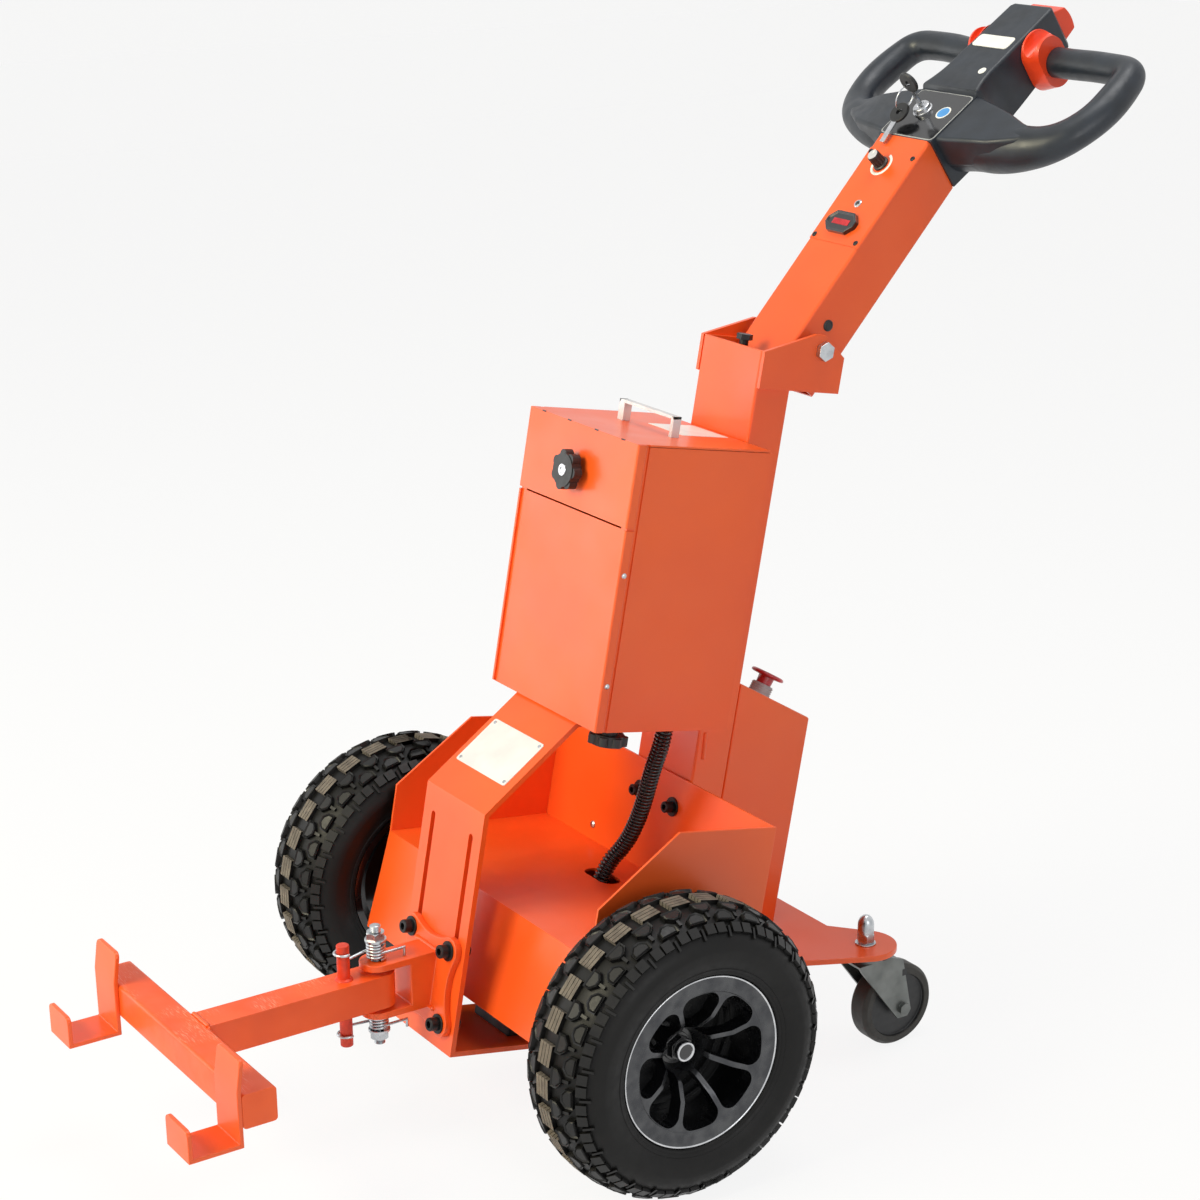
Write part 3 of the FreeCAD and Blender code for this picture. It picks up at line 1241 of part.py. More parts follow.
def hose():
    """Free hose from the box floor to the port in the deck: straight runs joined by tangent arcs."""
    points = [Vector(*p) for p in HOSE_ROUTE]
    edges, last = [], points[0]
    length = 0
    for before, here, after in zip(points, points[1:], points[2:]):
        u, v = (before - here), (after - here)
        turn = math.pi - u.getAngle(v)
        trim = 0.45 * min(u.Length, v.Length)
        radius = trim / math.tan(turn / 2)
        a, b = here + u.normalize() * trim, here + v.normalize() * trim
        inward = (u + v).normalize()
        middle = here + inward * (radius / math.cos(turn / 2) - radius)
        edges += [Part.LineSegment(last, a).toShape(), Part.Arc(a, middle, b).toShape()]
        length += (a - last).Length + radius * turn
        print(f"hose radius {radius:.1f}")
        last = b
    edges.append(Part.LineSegment(last, points[-1]).toShape())
    length += (points[-1] - last).Length
    path = Part.Wire(edges)
    radius = val("hose_radius")
    ring = Part.Wire(Part.Circle(points[0], points[1] - points[0], radius).toShape())
    tube = path.makePipeShell([ring], True, False)
    print(f"hose length {length:.1f}, volume ratio {tube.Volume / (math.pi * radius ** 2 * length):.4f}")
    feature = doc.addObject("Part::Feature", "hose")
    feature.Shape = tube
    return finish(feature, chassis)


HOSE_ROUTE = [(59, 93, 282.2), (59, 93, 258), (44, 96, 218), (29, 102, 166), (12, 101, 122),
              (-2, 88, 94), (-5, 84, 66)]
hose()


# ---------------------------------------------------------------- check and write

doc.recompute()
for obj in doc.Objects:
    if {"Invalid", "Error"} & set(obj.State):
        raise RuntimeError(f"{obj.Label} failed: {obj.State}")
for label, obj in parts.items():
    if obj.Shape.isNull() or not obj.Shape.isValid() or not obj.Shape.Solids:
        raise RuntimeError(f"{label} has no valid shape")
os.makedirs("parts", exist_ok=True)
total = None
for label, obj in parts.items():
    obj.Shape.exportStep(f"parts/{label}.step")
    total = obj.Shape.BoundBox if total is None else total.united(obj.Shape.BoundBox)
print(len(parts), "sub-parts, overall", total)
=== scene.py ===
# %% [markdown]
# # An electric tow tug, piece by piece
# The tug is a welded orange chassis on two driven tyres and two castors, with a battery box, a hooked coupling
# bar and a looped tiller head. Its solids come from CAD. This lesson gives each of them its finish, and models
# the small things that a person sees from a step away.

# %% Load the fixed frame
import json
import math
import bpy
from mathutils import Matrix, Vector


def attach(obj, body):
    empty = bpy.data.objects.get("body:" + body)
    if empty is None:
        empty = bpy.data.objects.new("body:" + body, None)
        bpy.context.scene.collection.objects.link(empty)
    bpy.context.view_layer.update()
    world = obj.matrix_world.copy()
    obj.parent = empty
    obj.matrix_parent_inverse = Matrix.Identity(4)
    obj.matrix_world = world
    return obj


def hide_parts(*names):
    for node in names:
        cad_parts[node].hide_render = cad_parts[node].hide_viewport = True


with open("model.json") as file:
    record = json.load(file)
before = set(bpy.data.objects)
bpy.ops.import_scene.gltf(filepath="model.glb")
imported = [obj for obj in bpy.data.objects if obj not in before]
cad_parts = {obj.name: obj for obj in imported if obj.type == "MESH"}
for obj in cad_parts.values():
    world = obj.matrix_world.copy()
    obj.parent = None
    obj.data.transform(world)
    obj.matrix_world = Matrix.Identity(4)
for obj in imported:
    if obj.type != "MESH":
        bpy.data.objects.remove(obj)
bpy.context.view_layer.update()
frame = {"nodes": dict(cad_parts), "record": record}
MM = 0.001

# %% [markdown]
# ## The camera
# A long lens from the coupling's right side, a little above the tyres, shows the coupling, the box and the
# tiller in one view. The lens is shifted instead of turned, so upright edges stay upright.

# %% Camera
bpy.ops.object.camera_add(location=(2.27511, -1.51126, 1.42647),
                          rotation=[math.radians(a) for a in (69.12119, 0.38345, 56.32150)])
camera = bpy.context.object
camera.data.lens, camera.data.sensor_width = 79.062, 36
camera.data.shift_x, camera.data.shift_y = -0.008249, 0.118234
scene = bpy.context.scene
scene.camera = camera
scene.view_settings.view_transform = "Standard"
print("lens", camera.data.lens, "mm")

# %% [markdown]
# ## Where things sit
# The chassis leans back about the axle, the tiller leans further, and its head further still. Each of them is
# square in itself, so a piece is modelled in its own frame and then put in place once.

# %% Frames of the machine


def leaning(base, origin, angle=0.0):
    """A frame at that point of the base frame, in mm, leaned back by an angle in degrees."""
    spot = Matrix.Translation(Vector(origin) * MM)
    return base @ spot @ Matrix.Rotation(math.radians(-angle), 4, "X")


GROUND = leaning(Matrix(), (0, -112.4, 0))
CHASSIS = leaning(Matrix(), (0, -112.4, 162.5), 10.75)
TILLER = leaning(CHASSIS, (0, 225, 695.5), 31.65)
HEAD = leaning(TILLER, (0, -28, 257), 13)
SIDES = {"left": -1, "right": 1}


def wheel_frame(side):
    """The tyre's middle, with local z pointing outwards along the axle."""
    spot = Matrix.Translation(Vector((side * 281.5, -112.4, 162.5)) * MM)
    return spot @ Matrix.Rotation(math.radians(90 * side), 4, "Y")


print("tiller pivot at", [round(v, 4) for v in TILLER.translation])

# %% [markdown]
# ## Working as by hand
# Blender's operators act on what is selected. These few helpers select exactly the faces or edges that a step
# means, by place or direction in millimetres, and then call the operator.

# %% Selecting and editing


def deselect():
    if bpy.context.object and bpy.context.object.mode != "OBJECT":
        bpy.ops.object.mode_set(mode="OBJECT")
    bpy.ops.object.select_all(action="DESELECT")


def only(piece):
    """Make a piece the one selected and active object."""
    deselect()
    piece.select_set(True)
    bpy.context.view_layer.objects.active = piece
    return piece


def edit(piece, choose=None, what="FACE"):
    """Open a piece with just the chosen faces (centre, normal), edges (end, end) or points selected."""
    only(piece)
    mesh = piece.data
    for part in (mesh.vertices, mesh.edges, mesh.polygons):
        part.foreach_set("select", [False] * len(part))
    points = [v.co / MM for v in mesh.vertices]
    if choose and what == "FACE":
        for face in mesh.polygons:
            face.select = bool(choose(face.center / MM, face.normal))
    elif choose and what == "EDGE":
        for edge in mesh.edges:
            edge.select = bool(choose(points[edge.vertices[0]], points[edge.vertices[1]]))
    elif choose:
        for vertex in mesh.vertices:
            vertex.select = bool(choose(points[vertex.index]))
    bpy.context.tool_settings.mesh_select_mode = (what == "VERT", what == "EDGE", what == "FACE")
    bpy.ops.object.mode_set(mode="EDIT")
    if choose is None:
        bpy.ops.mesh.select_all(action="SELECT")


def named(name):
    """Name the new primitive and its mesh."""
    piece = bpy.context.object
    piece.name = piece.data.name = name
    return piece


def block(name, size, middle=(0, 0, 0)):
    """A box of that size about its middle, in mm."""
    deselect()
    bpy.ops.mesh.primitive_cube_add(size=MM, location=Vector(middle) * MM)
    piece = named(name)
    bpy.ops.transform.resize(value=size)
    bpy.ops.object.transform_apply(location=True, rotation=True, scale=True)
    return piece


def round_bar(name, radius, start, length, sides=32, turn=None):
    """A bar or prism along local z from its start, in mm."""
    deselect()
    bpy.ops.mesh.primitive_cylinder_add(vertices=sides, radius=radius * MM, depth=length * MM,
                                        location=(0, 0, (start + length / 2) * MM))
    piece = named(name)
    bpy.ops.object.transform_apply(location=True, rotation=True, scale=True)
    if turn:
        piece.rotation_euler = [math.radians(a) for a in turn]
        bpy.ops.object.transform_apply(location=True, rotation=True, scale=True)
    return piece


def push(**move):
    """Extrude the selected faces and move them, in mm."""
    value = Vector(move.get("value", (0, 0, 0))) * MM
    bpy.ops.mesh.extrude_region_move(TRANSFORM_OT_translate={"value": value})


def soften_edges(piece, width, segments=2, angle=35):
    """Round every edge sharper than the angle."""
    modify(piece, "BEVEL", width=width * MM, segments=segments, limit_method="ANGLE",
           angle_limit=math.radians(angle), harden_normals=False)
    return piece


def modify(piece, kind, **settings):
    """Add a modifier with its settings and apply it."""
    only(piece)
    bpy.ops.object.modifier_add(type=kind)
    modifier = piece.modifiers[-1]
    for key, value in settings.items():
        setattr(modifier, key, value)
    bpy.ops.object.modifier_apply(modifier=modifier.name)
    return piece


def tidy(piece, gap=0.01):
    """Merge doubled points and turn all faces outwards."""
    edit(piece)
    bpy.ops.mesh.remove_doubles(threshold=gap * MM)
    bpy.ops.mesh.normals_make_consistent(inside=False)
    deselect()
    return piece


def lathe(name, outline, steps=64, turned=360):
    """Spin an outline of (radius, height) points in mm about local z."""
    deselect()
    bpy.ops.mesh.primitive_plane_add(size=MM, location=(outline[0][0] * MM, 0, outline[0][1] * MM))
    piece = named(name)
    bpy.ops.object.transform_apply(location=True, rotation=True, scale=True)
    edit(piece, lambda point: True, "VERT")
    bpy.ops.mesh.merge(type="CENTER")
    for (r0, z0), (r1, z1) in zip(outline, outline[1:]):
        bpy.ops.mesh.extrude_vertices_move(TRANSFORM_OT_translate={"value": Vector((r1 - r0, 0, z1 - z0)) * MM})
    bpy.ops.mesh.select_all(action="SELECT")
    bpy.ops.mesh.spin(steps=steps, angle=math.radians(turned), center=(0, 0, 0), axis=(0, 0, 1))
    deselect()
    return tidy(piece)


def joined(name, *pieces):
    """Several pieces as one object."""
    deselect()
    for piece in pieces:
        piece.select_set(True)
    bpy.context.view_layer.objects.active = pieces[0]
    bpy.ops.object.join()
    return named(name)


def twin(piece, name, shift=(0, 0, 0)):
    """A copy with its own mesh, moved in mm."""
    only(piece)
    bpy.ops.object.duplicate()
    copy = named(name)
    bpy.ops.transform.translate(value=Vector(shift) * MM)
    bpy.ops.object.transform_apply(location=True, rotation=True, scale=True)
    return copy


def settle(piece, at=None):
    """Put a finished piece in the machine's frame and apply its place."""
    piece.matrix_world = (at or Matrix()) @ piece.matrix_world
    only(piece)
    bpy.ops.object.transform_apply(location=True, rotation=True, scale=True)
    return piece


def hand_over(piece, body, finish, at=None, stands_for=(), smooth=32):
    """Place a finished piece, shade it, give it its finish, and let it ride on its body."""
    settle(piece, at)
    bpy.ops.object.shade_smooth_by_angle(angle=math.radians(smooth))
    modify(piece, "WEIGHTED_NORMAL", keep_sharp=True)
    if finish:
        piece.data.materials.clear()
        piece.data.materials.append(finish)
    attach(piece, body)
    if stands_for:
        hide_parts(*stands_for)
    return piece


print("helpers ready")

# %% [markdown]
# ## Light, floor and background
# Studio pictures of machines use two or three large soft boxes. A big lamp from the coupling's side lights the
# faces towards it, a weaker one fills the right side, and the world fills the rest. The floor turns pale for
# the camera only, so the light on the paint stays at a plain level.

# %% Soft boxes


def soft_box(name, place, target, size, power, tone=(1, 1, 1)):
    bpy.ops.object.light_add(type="AREA", location=place)
    lamp = bpy.context.object
    lamp.name = name
    lamp.data.shape, lamp.data.size, lamp.data.energy, lamp.data.color = "SQUARE", size, power, tone
    aim = Vector(target) - Vector(place)
    lamp.rotation_euler = aim.to_track_quat("-Z", "Y").to_euler()
    return lamp


soft_box("key_box", (-0.2, -3.1, 2.3), (0, 0, 0.5), 1.7, 116, (1.0, 0.93, 0.66))
soft_box("side_box", (3.4, -0.2, 1.3), (0, 0, 0.5), 1.3, 17)
soft_box("top_box", (0.2, 0.6, 3.4), (0, 0.2, 0.5), 1.5, 32)
soft_box("front_card", (-2.7, -2.3, 0.8), (0, -0.1, 0.5), 2.0, 24)
print("four soft boxes")

# %% One helper for nodes, one for colours


def linear(text):
    """An sRGB hex colour as linear RGBA."""
    parts = [int(text[i:i + 2], 16) / 255 for i in (0, 2, 4)]
    return [c / 12.92 if c <= 0.04045 else ((c + 0.055) / 1.055) ** 2.4 for c in parts] + [1.0]


def add(tree, kind, links=None, **settings):
    """Add a shader node. Links are values for its inputs or sockets to connect to them."""
    node = tree.nodes.new("ShaderNode" + kind)
    for key, value in settings.items():
        setattr(node, key, value)
    for key, value in (links or {}).items():
        if isinstance(value, bpy.types.NodeSocket):
            tree.links.new(value, node.inputs[key])
        else:
            node.inputs[key].default_value = value
    return node


print("orange in linear light:", [round(c, 3) for c in linear("EE4A22")[:3]])

# %% World, floor and backdrop


def seen_rays(tree):
    """One where the camera looks, straight, through glass or by way of a mirror, and nought for soft light."""
    path = add(tree, "LightPath")
    straight = add(tree, "Math", {0: path.outputs["Is Camera Ray"], 1: path.outputs["Is Transmission Ray"]},
                   operation="MAXIMUM")
    return add(tree, "Math", {0: straight.outputs[0], 1: path.outputs["Is Glossy Ray"]}, operation="MAXIMUM")


world = bpy.data.worlds.new("studio_world")
scene.world = world
world.use_nodes = True
tree = world.node_tree
tree.nodes.clear()
seen = seen_rays(tree)
fill = add(tree, "Background", {"Color": linear("FFFFFF"), "Strength": 0.32})
plain = add(tree, "Background", {"Color": linear("F6F6F6"), "Strength": 1.0})
mix = add(tree, "MixShader", {0: seen.outputs[0], 1: fill.outputs[0], 2: plain.outputs[0]})
add(tree, "OutputWorld", {"Surface": mix.outputs[0]})


def pale_finish(name):
    """Matt white paper for light that falls on it, with the pale tone added for the camera's rays."""
    material = bpy.data.materials.new(name)
    material.use_nodes = True
    tree = material.node_tree
    tree.nodes.clear()
    share = add(tree, "Math", {0: seen_rays(tree).outputs[0], 1: 0.88}, operation="MULTIPLY")
    paper = add(tree, "BsdfDiffuse", {"Color": linear("F4F4F2")})
    glow = add(tree, "Emission", {"Color": linear("FFFFFF"), "Strength": 1.0})
    mix = add(tree, "MixShader", {0: share.outputs[0], 1: paper.outputs[0], 2: glow.outputs[0]})
    add(tree, "OutputMaterial", {"Surface": mix.outputs[0]})
    return material


deselect()
bpy.ops.mesh.primitive_plane_add(size=14, location=(0, 0, 0))
floor = named("studio_floor")
edit(floor, lambda a, b: min(a.y, b.y) > 1 or max(a.x, b.x) < -1, "EDGE")
bpy.ops.mesh.extrude_region_move(TRANSFORM_OT_translate={"value": (-0.8, 0.8, 0.25)})
bpy.ops.mesh.extrude_region_move(TRANSFORM_OT_translate={"value": (-0.25, 0.25, 5)})
deselect()
floor.data.materials.append(pale_finish("paper_sweep"))
print("floor", [round(v, 2) for v in floor.dimensions])

# %% [markdown]
# ## The hose
# A corrugated hose leads the battery's cables from the box down through an oblong hole in the deck. Its line is
# one smooth NURBS curve. A straight corrugated tube is spun first, because ribs are easy to draw on a straight
# tube, and a Curve modifier then bends it along the line.

# %% Hose
HOSE_ROUTE = [(59, 93, 282.2), (59, 93, 258), (44, 96, 218), (29, 102, 166), (12, 101, 122), (-2, 88, 94),
              (-5, 84, 66)]
route = [CHASSIS @ (Vector(p) * MM) for p in HOSE_ROUTE]
line_data = bpy.data.curves.new("hose_line", "CURVE")
line_data.dimensions = "3D"
spline = line_data.splines.new("NURBS")
spline.points.add(len(route) - 1)
for point, place in zip(spline.points, route):
    point.co = (*place, 1)
spline.order_u, spline.use_endpoint_u = 3, True
line_data.resolution_u = 16
line = bpy.data.objects.new("hose_line", line_data)
scene.collection.objects.link(line)
bpy.context.view_layer.update()
read = bpy.data.meshes.new_from_object(line.evaluated_get(bpy.context.evaluated_depsgraph_get()))
path = [v.co.copy() for v in read.vertices]
hose_length = sum((b - a).length for a, b in zip(path, path[1:]))
print("hose length", round(hose_length, 4), "m from", len(path), "points")

RIB = 4.4
ribs = int(hose_length / MM / RIB)
pitch = hose_length / MM / ribs
profile = []
for i in range(ribs):
    z = i * pitch
    profile += [(7.9, z), (8.0, z + pitch * 0.24), (9.5, z + pitch * 0.38), (9.9, z + pitch * 0.55),
                (9.5, z + pitch * 0.72), (8.0, z + pitch * 0.88)]
hose = lathe("ribbed_hose", [(6.5, 0)] + profile + [(7.9, ribs * pitch), (6.5, ribs * pitch)], steps=20)
modify(hose, "CURVE", object=line, deform_axis="POS_Z")
bpy.data.objects.remove(line)
print("ribs:", ribs)

# %% [markdown]
# ## Finishes
# Each finish starts from what the real surface is and how it was made. Patterns are drawn in object
# coordinates, which are metres, so a noise scale of 1000 / size gives a pattern of that size in millimetres.

# %% One recipe for moulded, painted and plated surfaces


def grain(tree, place, size, detail=2.0, stretch=(1, 1, 1)):
    """Noise whose blotches are about that many millimetres across."""
    turned = add(tree, "Mapping", {"Vector": place, "Scale": stretch})
    return add(tree, "TexNoise", {"Vector": turned.outputs[0], "Scale": 1000 / size, "Detail": detail}).outputs[0]


def blend_tones(tree, share, low, high, first, second):
    """Mix two colours where the share runs from low to high."""
    ramp = add(tree, "MapRange", {0: share, 1: low, 2: high})
    return add(tree, "Mix", {0: ramp.outputs[0], 6: first, 7: second}, data_type="RGBA").outputs[2]


def finish(name, tone, second, rough, metallic=0.0, blotch=40, bump=(2.0, 0.05), coat=0.0, worn=None,
           rough_spread=0.12, ior=1.5):
    """A surface in two near tones, with uneven gloss and a fine relief (size in mm, height in mm)."""
    material = bpy.data.materials.new(name)
    material.use_nodes = True
    tree = material.node_tree
    tree.nodes.clear()
    place = add(tree, "TexCoord").outputs["Object"]
    colour = blend_tones(tree, grain(tree, place, blotch), 0.35, 0.65, linear(tone), linear(second))
    gloss = add(tree, "MapRange", {0: grain(tree, place, blotch * 0.4), 1: 0.3, 2: 0.7, 3: rough,
                                   4: min(rough + rough_spread, 1)})
    if worn:
        colour = worn(tree, place, colour)
    relief = add(tree, "Bump", {"Height": grain(tree, place, bump[0], 3), "Distance": bump[1] * MM,
                                "Strength": 0.6})
    shader = add(tree, "BsdfPrincipled", {"Base Color": colour, "Roughness": gloss.outputs[0],
                                          "Metallic": metallic, "Normal": relief.outputs[0],
                                          "Coat Weight": coat, "Coat Roughness": 0.12, "IOR": ior})
    add(tree, "OutputMaterial", {"Surface": shader.outputs[0]})
    return material


print("recipe ready")

# %% [markdown]
# ### Powder coat
# The orange is polyester powder, sprayed dry and baked. It flows into a smooth gloss skin with a faint orange
# peel of about two millimetres. Under the skin the tone is even. Its clear gloss is a thin coat on the shader.

# %% Paints


def scuffed(tree, place, colour):
    """Pale rubbed streaks on upward faces, where chains and hooks have dragged along the bar."""
    upward = add(tree, "SeparateXYZ", {0: add(tree, "NewGeometry").outputs["Normal"]}).outputs[2]
    flat = add(tree, "MapRange", {0: upward, 1: 0.75, 2: 0.95}).outputs[0]
    streak = grain(tree, place, 2.2, 3, (0.25, 2.2, 1))
    patch = grain(tree, place, 45, 1)
    rubbed = add(tree, "MapRange", {0: streak, 1: 0.52, 2: 0.78}).outputs[0]
    where = add(tree, "MapRange", {0: patch, 1: 0.46, 2: 0.62}).outputs[0]
    both = add(tree, "Math", {0: rubbed, 1: where}, operation="MULTIPLY").outputs[0]
    share = add(tree, "Math", {0: both, 1: flat}, operation="MULTIPLY").outputs[0]
    return add(tree, "Mix", {0: share, 6: colour, 7: linear("F7A88A")}, data_type="RGBA").outputs[2]


POWDER_COAT = finish("orange_powder_coat", "F26020", "EC571A", 0.32, blotch=160, bump=(2.2, 0.02), coat=0.16)
SCUFFED_COAT = finish("scuffed_powder_coat", "F15C1E", "E65317", 0.38, blotch=60, bump=(2.2, 0.03), coat=0.08,
                      worn=scuffed)
RED_ENAMEL = finish("red_enamel_worn", "E2401F", "C2341B", 0.38, blotch=14, bump=(1.5, 0.04))
print("paints:", POWDER_COAT.name, SCUFFED_COAT.name, RED_ENAMEL.name)

# %% [markdown]
# ### Metals, plastics and rubber
# Zinc plating is bright and slightly blue with cloudy gloss. Bolts are black oxide. The head is a textured
# moulding with a cold dark tone. Tyre rubber is a soft black that wears to grey where it meets the road.

# %% Other finishes
ZINC = finish("zinc_plated_steel", "C9CCCF", "AEB2B6", 0.24, 1.0, 12, (0.8, 0.01))
GALVANISED = finish("galvanised_pressing", "7A7D7B", "686B69", 0.34, 0.85, 22, (1.0, 0.02))
SATIN_BAR = finish("satin_aluminium_bar", "D9DADB", "CBCDCF", 0.36, 0.6, 20, (0.6, 0.01))
BRIGHT_STEEL = finish("machined_steel", "D5D6D8", "BFC1C4", 0.2, 1.0, 8, (0.6, 0.008))
DARK_STEEL = finish("dark_steel_casting", "4A4B4D", "36373A", 0.45, 0.8, 20, (1.5, 0.06))
BLACK_OXIDE = finish("black_oxide_steel", "1B1C1E", "26272A", 0.34, 0.5, 6, (0.8, 0.015))
GLOSS_BLACK = finish("gloss_black_enamel", "0C0D0F", "121316", 0.16, 0.0, 30, (2.0, 0.01), coat=0.6)
TURNED_FACE = finish("turned_aluminium_tinted", "58595B", "46474A", 0.24, 0.9, 16, (0.7, 0.01))
TYRE_RUBBER = finish("tyre_sidewall_rubber", "060606", "0B0A0A", 0.42, 0.0, 26, (1.2, 0.05), ior=1.33)
TREAD_RUBBER = finish("tyre_tread_rubber", "070707", "0E0D0D", 0.38, 0.0, 14, (1.0, 0.06), ior=1.42)
WORN_RUBBER = finish("worn_crown_rubber", "6E665D", "564F48", 0.7, 0.0, 10, (0.9, 0.05), ior=1.52)
CASTOR_RUBBER = finish("grey_castor_rubber", "23211C", "2C2A26", 0.5, 0.0, 18, (1.0, 0.04))
HEAD_MOULDING = finish("textured_head_moulding", "171D25", "202731", 0.34, 0.0, 30, (0.7, 0.03))
HOSE_NYLON = finish("glossy_hose_nylon", "0B0B0C", "141415", 0.2, 0.0, 20, (1.0, 0.01), coat=0.3)
BLACK_NYLON = finish("black_nylon", "141517", "1D1E20", 0.38, 0.0, 14, (0.8, 0.02))
PANEL_GLOSS = finish("gloss_panel", "0B0C0F", "101216", 0.1, 0.0, 30, (1.5, 0.004), coat=0.5)
ORANGE_PLASTIC = finish("orange_moulding", "F2481D", "E8411A", 0.3, 0.0, 30, (1.0, 0.01), coat=0.2)
RED_PLASTIC = finish("red_moulding", "C3202A", "A81B25", 0.24, 0.0, 20, (1.0, 0.01), coat=0.3)
GREY_PLASTIC = finish("grey_collar_plastic", "B9BBBD", "A5A7AA", 0.35, 0.0, 10, (0.8, 0.01))
WHITE_VINYL = finish("white_vinyl", "F1F1EE", "E6E6E3", 0.3, 0.0, 30, (1.2, 0.005))
BLUE_VINYL = finish("blue_vinyl", "4C9BE0", "3F8BD2", 0.3, 0.0, 20, (1.2, 0.005))
PLATE_ALUMINIUM = finish("printed_plate_blank", "E6E9EC", "DADEE2", 0.3, 0.15, 30, (0.6, 0.004), coat=0.2)
RED_LENS = finish("red_lens", "D8202A", "B9141E", 0.15, 0.0, 8, (1.0, 0.002), coat=0.4)
print("finishes:", len(bpy.data.materials))

# %% Hand over the hose
hand_over(hose, "chassis", HOSE_NYLON, stands_for=["hose"], smooth=50)

# %% [markdown]
# ## The welded sheets and tubes
# Folded sheet has small round edges that catch a line of light, and square tube has clearly round corners. A
# copy of each CAD solid is merged, its flat faces are cleaned, and a Bevel rounds what is sharper than the
# angle. Long tube corners are chosen by their direction first and rounded further.

# %% Soften the CAD solids
BODY_OF = {node: body for body, nodes in frame["record"]["behaviour"]["bodies"].items() for node in nodes}


def copied(node):
    """A merged copy of a CAD solid with its flat faces in one piece each."""
    piece = bpy.data.objects.new(f"{node}_dressed", frame["nodes"][node].data.copy())
    scene.collection.objects.link(piece)
    edit(piece)
    bpy.ops.mesh.remove_doubles(threshold=0.004 * MM)
    bpy.ops.mesh.dissolve_limited(angle_limit=math.radians(0.6))
    deselect()
    return piece


def dressed(node, finish, width=0.6, segments=2, long_edges=None, long_width=4.0, angle=35, smooth=40):
    piece = copied(node)
    if long_edges:
        edit(piece, long_edges, "EDGE")
        bpy.ops.mesh.bevel(offset=long_width * MM, segments=5, affect="EDGES", clamp_overlap=True)
        deselect()
    if width:
        soften_edges(piece, width, segments, angle)
    return hand_over(piece, BODY_OF[node], finish, stands_for=[node], smooth=smooth)


def corner_edges(base, axis, xs, ys, reach=1.0):
    """Chooser for long edges along one axis of a frame that pass the given places across it, in mm."""
    back = base.inverted()

    def choose(a, b):
        a, b = [(back @ (p * MM)) / MM for p in (a, b)]
        across = [i for i in range(3) if i != axis]
        if (b - a).length < 15 or any(abs(a[i] - b[i]) > 0.3 for i in across):
            return False
        return any(abs(a[across[0]] - x) < reach and abs(a[across[1]] - y) < reach for x in xs for y in ys)
    return choose


def plate_corners(a, b):
    """The hooks' free corners: edges through the plate at its top and at the lip."""
    through = abs(a.x - b.x) < 0.1 and abs(a.z - b.z) < 4 and 3 < (a - b).length < 9
    return through and (min(a.z, b.z) > 215 or (min(a.z, b.z) > 160 and max(a.y, b.y) < -560))


sheets = {"side_panel_left": 0.6, "side_panel_right": 0.6, "deck": 0.6, "rear_wall": 0.6, "strap": 1.2,
          "tiller_bracket": 0.9, "rear_housing": 2.0, "castor_plate": 1.2, "hitch_bracket": 1.2}
for node, width in sheets.items():
    dressed(node, POWDER_COAT, width)
dressed("column", POWDER_COAT, 0.5, 2, corner_edges(CHASSIS, 2, (-53.5, 53.5), (146, 193)), 3.2)
dressed("tiller_tube", POWDER_COAT, 0.5, 2, corner_edges(TILLER, 2, (-42, 42), (-28, 37)), 3.5)
dressed("tongue_tube", SCUFFED_COAT, 0.5, 2,
        corner_edges(Matrix(), 1, (-19, 19), (150.5, 188.5)), 4.0)
dressed("cross_bar", SCUFFED_COAT, 0.5, 2,
        corner_edges(Matrix(), 0, (-552.4, -514.4), (150.5, 188.5)), 4.0)
for side in SIDES:
    dressed(f"hook_{side}", POWDER_COAT, 1.0, 2, plate_corners, 7)
for node, width in (("battery_box", 0.5), ("box_lid", 0.6)):
    piece = copied(node)
    for sign in SIDES.values():
        groove = settle(block("groove", (3.0, 5.0, 330), (sign * 102.2, -19.0, 430)), CHASSIS)
        modify(piece, "BOOLEAN", operation="DIFFERENCE", object=groove, solver="EXACT")
        bpy.data.objects.remove(groove)
    hand_over(soften_edges(piece, width, 2), BODY_OF[node], POWDER_COAT, stands_for=[node], smooth=40)
print("sheets dressed:", len(sheets) + 6)

# %% [markdown]
# ## Tyres
# The tyres are 13 x 5.00-6 size with a block tread. The carcass is one outline spun about the axle, drawn down to
# the groove floor. One pitch of tread blocks is modelled on it and spun 28 times as copies, because that keeps
# each block a few dozen faces. Ribs and gaps between them are real relief, so light shows them from any side.

# %% Carcass
CARCASS = [(80.3, 33.5), (81.3, 40.1), (95.3, 44.1), (95.3, 47.6), (97.2, 50.4), (99.6, 50.9), (100.6, 52.2),
           (103.4, 53.2), (104.2, 52.7), (110, 55.4), (116, 56.9), (122, 57.4), (123, 58.0), (124.6, 58.0),
           (125.6, 57.4), (130, 56.6), (134, 55.0), (138, 52.6), (143.5, 47.5), (149.8, 39.5), (155.2, 27),
           (157.4, 13), (157.8, 0)]


def tyre_carcass(name):
    far = [(r, -z) for r, z in reversed(CARCASS[:-1])]
    outline = CARCASS + far
    return lathe(name, [(r, min(max(z, -57.5), 57.5)) for r, z in outline] + [CARCASS[0]], steps=112)


# %% One pitch of tread


def crown_block(name, length, width, deep=6.0, point=0.0, narrow=0.35):
    """A tread block lying flat: length round the tyre, width across it, and an end that points across."""
    piece = block(name, (deep, length, width), (-deep / 2, 0, 0))
    edit(piece, lambda c, n: n.x < -0.9)
    bpy.ops.mesh.delete(type="FACE")
    if point:
        bpy.ops.object.mode_set(mode="OBJECT")
        edit(piece, lambda c, n: n.z > 0.9)
        push(value=(0, 0, point))
        bpy.ops.transform.resize(value=(1, narrow, 1))
    bpy.ops.object.mode_set(mode="OBJECT")
    return piece


